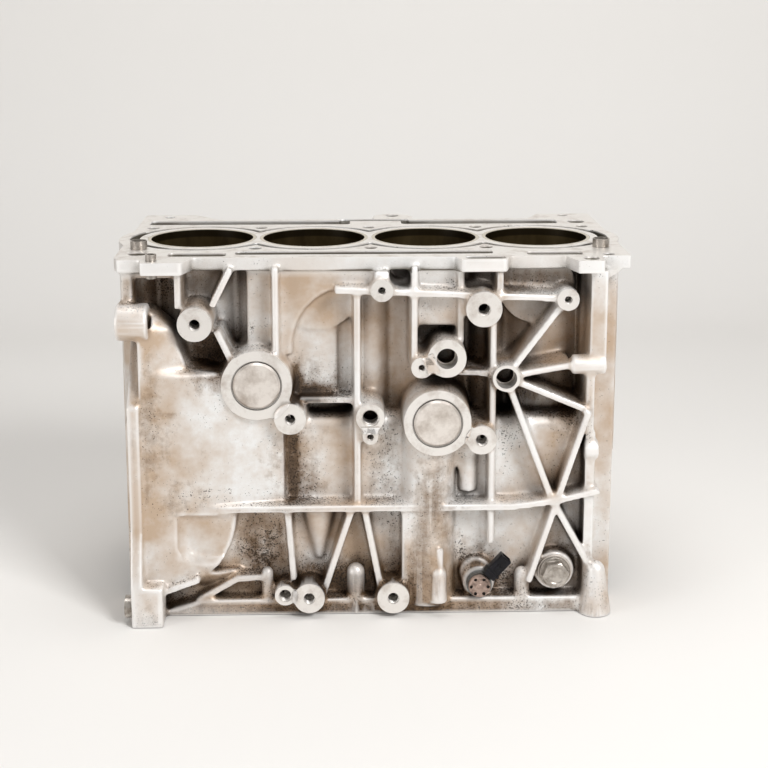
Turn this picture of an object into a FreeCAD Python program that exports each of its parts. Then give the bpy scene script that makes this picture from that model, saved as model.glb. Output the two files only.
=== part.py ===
import FreeCAD, Part
import os
import re
import Sketcher
from FreeCAD import Placement, Rotation, Vector

# Four-cylinder open-deck aluminium cylinder block with cast-in iron liners.
# The origin is on the crankshaft axis at the middle main bearing.
# +X runs to the timing end, -X to the gearbox end, -Y is the ribbed side, +Z is up to the deck.

document = FreeCAD.newDocument("EngineBlock")
sheet = document.addObject("Spreadsheet::Sheet", "Sizes")

SIZES = {
    # Cylinders and liners
    "bore": 74.5,
    "bore_pitch": 82,
    "liner_wall": 2.5,
    "liner_length": 128,
    "barrel_wall": 6,
    "cast_fit": 0.05,
    # Deck
    "deck_height": 210,
    "deck_thickness": 9,
    "gearbox_overhang": 13,
    "timing_overhang": 15,
    "rim_front": 79,
    "rim_back": 82,
    "pad_front": 98,
    "corner_front": 87,
    "left_pad_outer": 157,
    "left_pad_inner": 129,
    "right_pad_outer": 158,
    "right_pad_inner": 140,
    "pad_flare": 6,
    "drain_pad_left": 61,
    "drain_pad_right": 92,
    "drain_pad_front": 91,
    "back_corner": 105,
    "back_corner_inner": 137,
    "back_corner_flare": 20,
    "back_boss_x": 20,
    "back_boss_y": 91,
    "back_boss_radius": 16,
    # Water jacket
    "jacket_gap": 4.7,
    "jacket_wall": 4.5,
    "jacket_depth": 112,
    "end_gap": 7,
    "end_wall": 8,
    "end_wall_reach": 46,
    # Pockets behind the front rim and the breather slot behind the back bolts
    "pocket_back": 56,
    "pocket_front": 68,
    "slot_front": 58,
    "slot_back": 76,
    "slot_left": 169,
    "slot_right": 148,
    "slot_jog": 14,
    "slot_floor": 100,
    "breather_wall": 6,
    # Head bolts and ring dowels
    "head_bolt_offset": 43.4,
    "head_bolt_hole": 10,
    "head_bolt_depth": 95,
    "column_radius": 13,
    "column_foot": 60,
    "ring_dowel": 12,
    "ring_dowel_wall": 0.9,
    "ring_dowel_seat": 8,
    "ring_dowel_stand": 6,
    "locating_sleeve": 7.6,
    "locating_sleeve_wall": 1,
    # Crankcase
    "skirt_depth": 48,
    "case_half_width": 72,
    "case_left": 174,
    "case_right": 158,
    "case_top": 95,
    "case_shoulder": 8,
    "bay_half_width": 65,
    "bay_top": 80,
    "bay_shoulder": 26,
    "bay_crown": 50,
    "web_thickness": 18,
    "timing_web_half_width": 58,
    "timing_web_right": 174,
    "rail_half_width": 86,
    "rail_thickness": 11,
    "rail_left": 148,
    "rail_right": 166,
    "rail_taper": 26,
    "rail_tip": 3,
    # Main bearings and caps
    "main_bore": 52,
    "cap_half_width": 50,
    "cap_depth": 38,
    "cap_shoulder": 26,
    "cap_crown": 28,
    "cap_fit": 0.05,
    "cap_bolt_offset": 38,
    "cap_bolt": 9.8,
    "cap_bolt_hole": 10,
    "cap_bolt_reach": 42,
    "cap_bolt_head": 13,
    "cap_bolt_head_height": 8,
    "cap_bolt_flange": 18,
    "cap_bolt_flange_height": 2,
    "seal_seat": 90,
    "seal_seat_depth": 6,
    # Main oil gallery
    "gallery_y": 60,
    "gallery_z": 76,
    "gallery_bore": 12,
    "gallery_plug": 16,
    "gallery_plug_depth": 10,
    # Ribs of the long sides
    "rib_front": 88,
    "rib_root": 46,
    "rib_width": 4.4,
    "rib_draft": 0.8,
    "rail_rib_z": 32,
    "rail_rib_height": 4.6,
    "cross_rib_drop": 21.5,
    "front_web": 76,
    "front_web_wall": 6,
    "arch_radius": 42,
    "arch_offset": 3,
    "arch_floor": 68,
    "arch_floor_foot": 109,
    "plug_web_left": 87,
    "plug_web_front": 72,
    "bulge_left_x": -38,
    "bulge_left_radius": 32,
    "bulge_right_x": 116,
    "bulge_right_radius": 27,
    "bulge_right_drop": 24,
    "column_x": 40,
    "column_radius_front": 18.5,
    "column_top": 84,
    "column_lift": 6,
    "vee_x": -38,
    "vee_foot": -10,
    "vee_foot_radius": 3,
    "vee_top_radius": 13,
    "prop_x": 68,
    "prop_foot": 50,
    "prop_foot_radius": 5,
    "prop_top_radius": 9,
    "pillow_x": -120,
    "pillow_front": 94,
    "pillow_z": 12,
    "pillow_radius": 52,
    # Gearbox flange
    "flange_face": 169,
    "flange_thickness": 8,
    "flange_front": 97,
    "flange_top": 108,
    "lug_front": 106,
    "lug_right": 147,
    "lug_top": 20,
    "top_lug_face": 175,
    "top_lug_right": 153,
    "top_lug_z": 167,
    "top_lug_y": 86,
    "top_lug_radius": 13,
    "gearbox_dowel": 16,
    "gearbox_dowel_wall": 2,
    "gearbox_dowel_stand": 5,
    "gearbox_dowel_seat": 10,
    "gearbox_dowel_y": 96,
    "gearbox_dowel_z": 36,
    # Stepped edge of the timing end
    "timing_edge_front": 85,
    "timing_upper_left": 151,
    "timing_upper_right": 163,
    "timing_upper_drop": 74,
    "timing_middle_left": 149,
    "timing_middle_right": 155.5,
    "timing_lower_left": 150,
    "timing_lower_right": 157,
    "timing_lower_top": 85,
    "timing_lug_radius": 7,
    "timing_lug_length": 24,
    "timing_low_lug_z": 72,
    "timing_low_lug_radius": 6.5,
    "timing_low_lug_length": 10,
    "corner_brace_inner": 66,
    "corner_brace_outer": 78,
    "corner_brace_drop": 17,
    # Plain long side
    "back_rib_lift": 5,
    "filter_x": -92,
    "filter_z": 46,
    "filter_radius": 44,
    "filter_face_radius": 38,
    "filter_depth": 44,
    "filter_port_radius": 10,
    "back_boss_height": 38,
    "back_hole_depth": 22,
    # Core plugs
    "plug_radius": 16.5,
    "plug_depth": 9,
    "plug_sheet": 1.6,
    "plug_stand": 1.2,
    "plug_edge": 1.5,
    "plug_fit": 0.05,
    "plug_groove": 1.2,
    "plug_groove_depth": 1.5,
    # Crank locking plug and oil pressure valve
    "lock_plug_x": 130,
    "lock_plug_z": -18.5,
    "lock_boss_radius": 14,
    "lock_boss_front": 83,
    "lock_washer": 24,
    "lock_washer_height": 1.5,
    "lock_flats": 17,
    "lock_head_height": 6,
    "lock_thread": 12,
    "lock_reach": 12,
    "valve_x": 76,
    "valve_z": -27,
    "valve_boss_radius": 11.5,
    "valve_boss_front": 82,
    "valve_crown_x": 74,
    "valve_crown_z": -21,
    "valve_crown_front": 79,
    "valve_radius": 9,
    "valve_height": 5,
    "valve_cap_radius": 8,
    "valve_cap_height": 4,
    "valve_bore": 14,
    "valve_reach": 14,
    "connector_length": 19,
    "connector_width": 9.5,
    "connector_height": 9,
    "connector_gap": 0.3,
    "connector_angle": 48,
}

# Bosses of the ribbed side: x, then the drop below the deck or the rise above the crankshaft,
# then the radius, the hole's radius and how far the face stands out from the cylinder plane.
BOSSES = {
    "bracket_boss": (-121.5, "drop", 44, 12, 4, 93),
    "stay_boss": (6.5, "drop", 21.5, 7.8, 2.6, 91),
    "mount_boss": (76.5, "drop", 34.5, 12.5, 4.3, 93),
    "corner_boss": (134.5, "drop", 28.5, 7.8, 2.5, 91),
    "shield_boss": (-57, "rise", 98.5, 11, 3.7, 93),
    "feed_boss": (51.5, "drop", 69.5, 13.5, 7, 91),
    "feed_screw_boss": (34, "drop", 76, 7.5, 2.2, 91),
    "sender_boss": (-1.5, "rise", 98.5, 10, 6, 91),
    "sender_screw_boss": (-1.5, "rise", 84.5, 5.5, 2.3, 91),
    "gusset_boss": (76, "rise", 82, 10.5, 4.2, 92),
    "hub": (93, "drop", 84.5, 9.5, 7, 89),
    "foot_boss_left": (-62, "rise", -31, 7.5, 4.5, 93),
    "foot_boss_centre": (-45, "rise", -33, 11, 4, 94),
    "foot_boss_right": (14.5, "rise", -33.5, 11.5, 4, 94),
}

# Places where ribs start and end: x, then drop below the deck or rise above the crankshaft.
PLACES = {
    "lug_stay_top": (-133, "drop", 8),
    "lug_stay_foot": (-133, "drop", 34),
    "window_stay_top": (-97, "drop", 7),
    "window_stay_foot": (-110, "drop", 33),
    "sill_stay_top": (-107, "drop", 50),
    "sill_stay_foot": (-97, "drop", 72),
    "left_web_top": (-66.5, "drop", 6),
    "left_web_foot": (-66.5, "drop", 72),
    "centre_stay_top": (-10.5, "drop", 22),
    "centre_stay_foot": (-10.5, "rise", 34),
    "cross_rib_left": (-26, "drop", 21.5),
    "feed_stay_top": (29, "drop", 6),
    "feed_stay_foot": (29, "drop", 72),
    "feed_web_top": (61.5, "drop", 6),
    "feed_web_foot": (61.5, "drop", 60),
    "mount_stay_top": (88, "drop", 6),
    "mount_stay_foot": (88, "drop", 24),
    "gusset_stay_top": (84, "drop", 42),
    "gusset_stay_foot": (84, "rise", 3),
    "bridge_left": (60, "drop", 81),
    "bridge_right": (88, "drop", 82),
    "timing_lug": (139, "drop", 76.5),
    "timing_edge": (151, "rise", 101),
    "cross_over": (126, "rise", 38),
    "timing_foot": (155, "rise", -15),
    "case_foot": (111, "rise", -25),
    "rail_rib_left": (-136, "rise", 32),
    "rail_rib_right": (100, "rise", 32),
    "rail_rib_bend": (128, "rise", 35.5),
    "rail_rib_tip": (160, "rise", 43),
    "skirt_stay_a_top": (-60, "rise", 32),
    "skirt_stay_a_foot": (-56, "rise", -22),
    "skirt_stay_b_top": (-14, "rise", 32),
    "skirt_stay_b_foot": (-35, "rise", -32),
    "skirt_stay_c_top": (-6, "rise", 32),
    "skirt_stay_c_foot": (6, "rise", -30),
    "skirt_stay_d_top": (23, "rise", 32),
    "skirt_stay_d_foot": (23, "rise", -30),
    "column_stay_top": (47.5, "rise", 2),
    "column_stay_foot": (47.5, "rise", -22),
    "crease_top": (60, "rise", 80),
    "crease_foot": (64, "rise", 52),
    "sill_left": (-50, "rise", 108),
    "sill_right": (-8, "rise", 108),
    "strut_top": (-150, "rise", -28),
    "strut_foot": (-122, "rise", -18),
    "brace_foot": (-124, "rise", -38),
    "brace_top": (-96, "rise", -22),
    "brace_end": (-75, "rise", -21),
}

RIBS = [
    ("lug_stay_top", "lug_stay_foot", "rib_front"),
    ("window_stay_top", "window_stay_foot", "rib_front"),
    ("sill_stay_top", "sill_stay_foot", "rib_front"),
    ("left_web_top", "left_web_foot", "rib_front"),
    ("centre_stay_top", "centre_stay_foot", "(rib_front - 1)"),
    ("cross_rib_left", "corner_boss", "(rib_front + 1)"),
    ("feed_stay_top", "feed_stay_foot", "rib_front"),
    ("feed_web_top", "feed_web_foot", "(rib_front - 6)"),
    ("mount_stay_top", "mount_stay_foot", "(rib_front - 1)"),
    ("gusset_stay_top", "gusset_stay_foot", "(rib_front - 2)"),
    ("bridge_left", "bridge_right", "(rib_front - 3)"),
    ("hub", "corner_boss", "(rib_front - 1)"),
    ("hub", "timing_lug", "(rib_front - 2)"),
    ("hub", "timing_edge", "(rib_front - 1)"),
    ("hub", "cross_over", "rib_front"),
    ("cross_over", "timing_foot", "rib_front"),
    ("timing_edge", "case_foot", "(rib_front + 1)"),
    ("rail_rib_right", "rail_rib_bend", "(rib_front + 2)"),
    ("rail_rib_bend", "rail_rib_tip", "(rib_front + 2)"),
    ("skirt_stay_a_top", "skirt_stay_a_foot", "rib_front"),
    ("skirt_stay_b_top", "skirt_stay_b_foot", "rib_front"),
    ("skirt_stay_c_top", "skirt_stay_c_foot", "rib_front"),
    ("skirt_stay_d_top", "skirt_stay_d_foot", "rib_front"),
    ("column_stay_top", "column_stay_foot", "(rib_front + 5)"),
    ("crease_top", "crease_foot", "(case_half_width + 5)"),
    ("sill_left", "sill_right", "(case_half_width + 7)"),
    ("strut_top", "strut_foot", "(flange_front - 2)"),
    ("brace_foot", "brace_top", "(rail_half_width - 2)"),
    ("brace_top", "brace_end", "(rail_half_width - 2)"),
]

PLUG_BOSSES = {
    "left_plug": (-80, "drop", 88, 24.5, 90),
    "right_plug": (45, "rise", 95.5, 23.5, 95),
}

SUMP_BOSSES = {
    "sump_boss_a": (-75, 4.2, 14),
    "sump_boss_b": (-12, 6.5, 12),
    "sump_boss_c": (47, 5.5, 20),
    "sump_boss_d": (107, 5.5, 16),
    "sump_boss_e": (160, 9.5, 22),
}

# Plan of the flared crankcase wall beside the gearbox flange: height, right end, depth there.
FLARE = {
    "flare_foot": (-26, 126, 84),
    "flare_low": (-10, 109, 86),
    "flare_belly": (12, 101, 87),
    "flare_shelf": (30, 98, 86),
    "flare_waist": (35, 62, 80),
    "flare_chest": (104, 62, 82),
    "flare_neck": (129, 102, 84),
    "flare_shoulder": (133, 128, 84),
    "flare_top": (161, 138, 83),
    "flare_tip": (173, 152, 80),
}

# Bosses of the plain long side: x, height, radius and hole radius.
BACK_BOSSES = {
    "knock_boss": (0, 118, 11, 4.2),
    "back_mount_a": (60, 140, 12, 4.2),
    "back_mount_b": (128, 140, 12, 4.2),
    "back_mount_c": (60, 54, 12, 4.2),
    "back_mount_d": (128, 54, 12, 4.2),
}

# Long slots that only lighten the front of the deck: left, right, front and back.
DECK_SLOTS = {
    "pocket_long": (-95, 85, -68, -56),
    "pocket_left_side": (-141, -101, -74, -61),
    "pocket_right_side": (108, 147, -74, -61),
    "drain_slot": (64, 92, -87, -78),
}

# Holes in the deck beside the head bolts: x, y, radius and depth.
DECK_HOLES = {
    "oil_return_a": (-162.5, -63, 7, 60),
    "pad_hole_left": (-150, -89, 3.8, 20),
    "pad_hole_right": (150, -88, 6, 6),
    "corner_hole": (164.5, -73, 4.5, 25),
    "oil_return_b": (163, 66, 7, 60),
    "boss_hole": (20, 99, 5.5, 20),
    "back_corner_hole": (-157, 95, 4.5, 25),
    "back_corner_hole_right": (157, 97, 4.5, 25),
}


def number_names(prefix, names, numbers):
    """Give each number of a row its own name in the sheet."""
    for name, number in zip(names, numbers):
        SIZES[f"{prefix}_{name}"] = number


def register():
    """Put the rows of bosses, places and holes beside the driving sizes."""
    for name, (x, datum, level, *rest) in {**BOSSES, **PLACES, **PLUG_BOSSES}.items():
        number_names(name, ("x", datum), (x, level))
        if name in BOSSES:
            number_names(name, ("radius", "hole", "front"), rest)
        if name in PLUG_BOSSES:
            number_names(name, ("radius", "front"), rest)
    for name, row in SUMP_BOSSES.items():
        number_names(name, ("x", "radius", "drop"), row)
    for name, row in FLARE.items():
        number_names(name, ("z", "right", "front"), row)
    for name, row in DECK_HOLES.items():
        number_names(name, ("x", "y", "radius", "depth"), row)
    for name, row in DECK_SLOTS.items():
        number_names(name, ("left", "right", "front", "back"), row)
    for name, row in BACK_BOSSES.items():
        number_names(name, ("x", "z", "radius", "hole"), row)


def fill_sheet():
    """Write every size as plain text beside its name and give the cell that name."""
    for row, (name, value) in enumerate(SIZES.items(), 1):
        sheet.set(f"A{row}", name)
        sheet.set(f"B{row}", str(value))
        sheet.setAlias(f"B{row}", name)
    document.recompute()


register()
fill_sheet()


def bind(thing, prop, formula):
    """Bind a property to a formula in which each size is written by its name."""
    linked = re.sub(r"[a-z][a-z0-9_]*",
                    lambda word: "Sizes." + word.group() if word.group() in SIZES else word.group(),
                    str(formula))
    thing.setExpression(prop, linked)


def spot(name):
    """The x and z formulas of a boss or of a rib's end."""
    if f"{name}_drop" in SIZES:
        return f"{name}_x", f"(deck_height - {name}_drop)"
    return f"{name}_x", f"{name}_rise"


# Formulas that several shapes share
LEFT_FACE = "(-2 * bore_pitch - gearbox_overhang)"
RIGHT_FACE = "(2 * bore_pitch + timing_overhang)"
UNDER_DECK = "(deck_height - deck_thickness)"
LINER_RADIUS = "(bore / 2 + liner_wall)"
BARREL_RADIUS = "(bore / 2 + liner_wall + barrel_wall)"
JACKET_RADIUS = f"({BARREL_RADIUS} + jacket_gap)"
WALL_RADIUS = f"({JACKET_RADIUS} + jacket_wall)"
SUMP = "(-skirt_depth)"
FIRST_BORE = "(-1.5 * bore_pitch)"
LAST_BORE = "(1.5 * bore_pitch)"
BORES = [f"({step} * bore_pitch)" for step in (-1.5, -0.5, 0.5, 1.5)]
WEBS = [f"({step} * bore_pitch)" for step in (-2, -1, 0, 1, 2)]
TOWARDS = {"x": Rotation(Vector(0, 1, 0), 90), "y": Rotation(Vector(1, 0, 0), -90), "z": Rotation()}
PLANES = {"xy": Rotation(), "yz": Rotation(Vector(1, 1, 1), 120), "xz": Rotation(Vector(1, 0, 0), 90)}


def put(thing, x, y, z):
    for axis, formula in zip("xyz", (x, y, z)):
        bind(thing, "Placement.Base." + axis, formula)


def box(name, x, y, z):
    """A block between a low and a high formula on each axis."""
    piece = document.addObject("Part::Box", name)
    for side, (low, high) in zip(("Length", "Width", "Height"), (x, y, z)):
        bind(piece, side, f"({high}) - ({low})")
    put(piece, x[0], y[0], z[0])
    return piece


def cylinder(name, axis, radius, start, length):
    piece = document.addObject("Part::Cylinder", name)
    piece.Placement = Placement(Vector(), TOWARDS[axis])
    bind(piece, "Radius", radius)
    bind(piece, "Height", length)
    put(piece, *start)
    return piece


def cone(name, axis, radius, end_radius, start, length):
    piece = document.addObject("Part::Cone", name)
    piece.Placement = Placement(Vector(), TOWARDS[axis])
    bind(piece, "Radius1", radius)
    bind(piece, "Radius2", end_radius)
    bind(piece, "Height", length)
    put(piece, *start)
    return piece


def sphere(name, radius, centre):
    piece = document.addObject("Part::Sphere", name)
    bind(piece, "Radius", radius)
    put(piece, *centre)
    return piece


def rib(name, start, end, front, width="rib_width"):
    """A drafted web on the ribbed side from one place to another."""
    (x1, z1), (x2, z2) = start, end
    run = f"({x2} - {x1})"
    rise = f"({z2} - {z1})"
    length = f"sqrt({run} * {run} + {rise} * {rise})"
    piece = document.addObject("Part::Wedge", name)
    piece.Placement = Placement(Vector(), Rotation(Vector(0, -1, 0), 30))
    limits = {
        "Xmin": "0", "Xmax": length, "Ymin": f"-{front}", "Ymax": "-rib_root",
        "Zmin": f"-{width} / 2", "Zmax": f"{width} / 2",
        "X2min": "0", "X2max": length,
        "Z2min": f"-{width} / 2 - rib_draft", "Z2max": f"{width} / 2 + rib_draft",
    }
    for prop, formula in limits.items():
        bind(piece, prop, formula)
    bind(piece, "Placement.Rotation.Angle", f"atan2({rise}; {run})")
    put(piece, x1, "0", z1)
    return piece


def fuse(name, pieces):
    result = document.addObject("Part::MultiFuse", name)
    result.Shapes = pieces
    return result


def cut(name, base, tool):
    result = document.addObject("Part::Cut", name)
    result.Base = base
    result.Tool = tool
    return result


def common(name, first, second):
    result = document.addObject("Part::MultiCommon", name)
    result.Shapes = [first, second]
    return result


def add_corners(sketch, corners):
    """Draw a closed outline whose corners are bound to formulas."""
    count = len(corners)
    first = sketch.GeometryCount
    turn = Rotation(Vector(0, 0, 1), 360 / count)
    point = Vector(10, 0, 0)
    for _ in corners:
        following = turn.multVec(point)
        sketch.addGeometry(Part.LineSegment(point, following))
        point = following
    for index in range(count):
        following = (index + 1) % count
        sketch.addConstraint(Sketcher.Constraint("Coincident", first + index, 2, first + following, 1))
    for index, corner in enumerate(corners):
        for kind, formula in zip(("DistanceX", "DistanceY"), corner):
            place = sketch.addConstraint(Sketcher.Constraint(kind, -1, 1, first + index, 1, 5.0))
            title = f"corner_{first + index}_{kind[-1].lower()}"
            sketch.renameConstraint(place, title)
            bind(sketch, "Constraints." + title, formula)


def add_circle(sketch, centre, radius):
    """Draw a circle whose centre and radius are bound to formulas."""
    ring = sketch.addGeometry(Part.Circle(Vector(3, 3, 0), Vector(0, 0, 1), 5))
    for kind, formula in zip(("DistanceX", "DistanceY"), centre):
        place = sketch.addConstraint(Sketcher.Constraint(kind, -1, 1, ring, 3, 5.0))
        title = f"centre_{ring}_{kind[-1].lower()}"
        sketch.renameConstraint(place, title)
        bind(sketch, "Constraints." + title, formula)
    place = sketch.addConstraint(Sketcher.Constraint("Radius", ring, 5.0))
    sketch.renameConstraint(place, f"radius_{ring}")
    bind(sketch, f"Constraints.radius_{ring}", radius)


def free_sketch(name, plane, corners, place=("0", "0", "0")):
    sketch = document.addObject("Sketcher::SketchObject", name)
    sketch.Placement = Placement(Vector(), PLANES[plane])
    add_corners(sketch, corners)
    put(sketch, *place)
    return sketch


def extrusion(name, plane, corners, place, length):
    """An outline in a named plane, pushed out along that plane's normal."""
    profile = free_sketch(name + "_outline", plane, corners, place)
    piece = document.addObject("Part::Extrusion", name)
    piece.Base = profile
    piece.DirMode = "Normal"
    piece.Solid = True
    bind(piece, "LengthFwd", length)
    return piece


# ---- The casting: solid forms ----

def deck_solids():
    """The deck plate with its pads, corner lugs and the bulges round both jacket ends."""
    rim = box("rim", (LEFT_FACE, RIGHT_FACE), ("-rim_front", "rim_back"), (UNDER_DECK, "deck_height"))
    level = ("0", "0", UNDER_DECK)
    left_pad = extrusion("left_pad", "xy", [
        ("-left_pad_inner + pad_flare", "-pocket_front"), ("-left_pad_inner + pad_flare", "-rim_front"),
        ("-left_pad_inner", "-pad_front"), ("-left_pad_outer", "-pad_front"),
        ("-left_pad_outer", "-corner_front"), (f"{LEFT_FACE} + 3", "-corner_front"),
        (LEFT_FACE, "-pocket_front")], level, "deck_thickness")
    right_pad = extrusion("right_pad", "xy", [
        ("right_pad_outer", "-pocket_front"), ("right_pad_outer", "-pad_front"),
        ("right_pad_inner", "-pad_front"), ("right_pad_inner - pad_flare", "-rim_front"),
        ("right_pad_inner - pad_flare", "-pocket_front")], level, "deck_thickness")
    drain_pad = extrusion("drain_pad", "xy", [
        ("drain_pad_right + 3", "-pocket_front"), ("drain_pad_right + 3", "-rim_front"),
        ("drain_pad_right", "-drain_pad_front"), ("drain_pad_left", "-drain_pad_front"),
        ("drain_pad_left - 4", "-rim_front"), ("drain_pad_left - 4", "-pocket_front")],
        level, "deck_thickness")
    back_left = extrusion("back_left_lug", "xy", [
        (LEFT_FACE, "slot_back"), ("-back_corner_inner + back_corner_flare", "slot_back"),
        ("-back_corner_inner + back_corner_flare", "rim_back"), ("-back_corner_inner", "back_corner"),
        (LEFT_FACE, "back_corner")], level, "deck_thickness")
    back_right = extrusion("back_right_lug", "xy", [
        (RIGHT_FACE, "slot_back"), (RIGHT_FACE, "back_corner"), ("back_corner_inner", "back_corner"),
        ("back_corner_inner - back_corner_flare / 2", "rim_back"),
        ("back_corner_inner - back_corner_flare / 2", "slot_back")], level, "deck_thickness")
    back_boss = cylinder("back_boss", "z", "back_boss_radius",
                         ("back_boss_x", "back_boss_y", "deck_height - 3 * deck_thickness"),
                         "3 * deck_thickness")
    return [rim, left_pad, right_pad, drain_pad, back_left, back_right, back_boss]


def jacket_solids():
    """Outer jacket walls round each bore, the bolt columns between them and the closed ends."""
    walls = [
        cylinder(f"jacket_wall_{count}", "z", WALL_RADIUS, (x, "0", "case_top - 30"),
                 f"{UNDER_DECK} - case_top + 31")
        for count, x in enumerate(BORES, 1)]
    columns = [
        cylinder(f"bolt_column_{count}_{side}", "z", "column_radius",
                 (x, f"{sign} * head_bolt_offset", "column_foot"), f"{UNDER_DECK} - column_foot + 1")
        for count, x in enumerate(WEBS, 1)
        for side, sign in (("front", -1), ("back", 1))]
    ends = []
    for side, x, sign in (("gearbox", FIRST_BORE, -1), ("timing", LAST_BORE, 1)):
        shell = cylinder(f"{side}_end_shell", "z", f"{BARREL_RADIUS} + end_gap + end_wall",
                         (x, "0", "case_top - 30"), "deck_height - case_top + 30")
        reach = f"({x} + {sign} * ({BARREL_RADIUS} + end_gap + end_wall + 1))"
        near = f"({x} + {sign} * bore / 2)"
        span = (reach, near) if sign < 0 else (near, reach)
        limit = box(f"{side}_end_limit", span, ("-end_wall_reach", "end_wall_reach"),
                    ("case_top - 31", "deck_height + 1"))
        ends.append(common(f"{side}_end_wall", shell, limit))
    return walls + columns + ends


def crankcase_solids():
    """The crankcase with its rounded shoulder, the timing-end web, the sump rail and the breather box."""
    case = extrusion("crankcase", "yz", [
        ("-case_half_width", SUMP), ("case_half_width", SUMP),
        ("case_half_width", "case_top - case_shoulder"),
        ("case_half_width - case_shoulder / 3", "case_top - case_shoulder / 3"),
        ("case_half_width - case_shoulder", "case_top"),
        ("-case_half_width + case_shoulder", "case_top"),
        ("-case_half_width + case_shoulder / 3", "case_top - case_shoulder / 3"),
        ("-case_half_width", "case_top - case_shoulder")],
        ("-case_left", "0", "0"), "case_left + case_right")
    timing_web = box("timing_web", ("case_right - 10", "timing_web_right"),
                     ("-timing_web_half_width", "timing_web_half_width"), (SUMP, f"{UNDER_DECK} + 1"))
    rail = extrusion("sump_rail", "xz", [
        ("-rail_left", SUMP), ("rail_right", SUMP), ("rail_right", f"{SUMP} + rail_thickness"),
        ("-rail_left + rail_taper", f"{SUMP} + rail_thickness"), ("-rail_left", f"{SUMP} + rail_tip")],
        ("0", "rail_half_width", "0"), "2 * rail_half_width")
    breather = box("breather_box", ("-slot_left - breather_wall", "slot_right + breather_wall"),
                   ("pocket_back", "rim_back"), ("case_top - 20", f"{UNDER_DECK} + 1"))
    return [case, timing_web, rail, breather]


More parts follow.
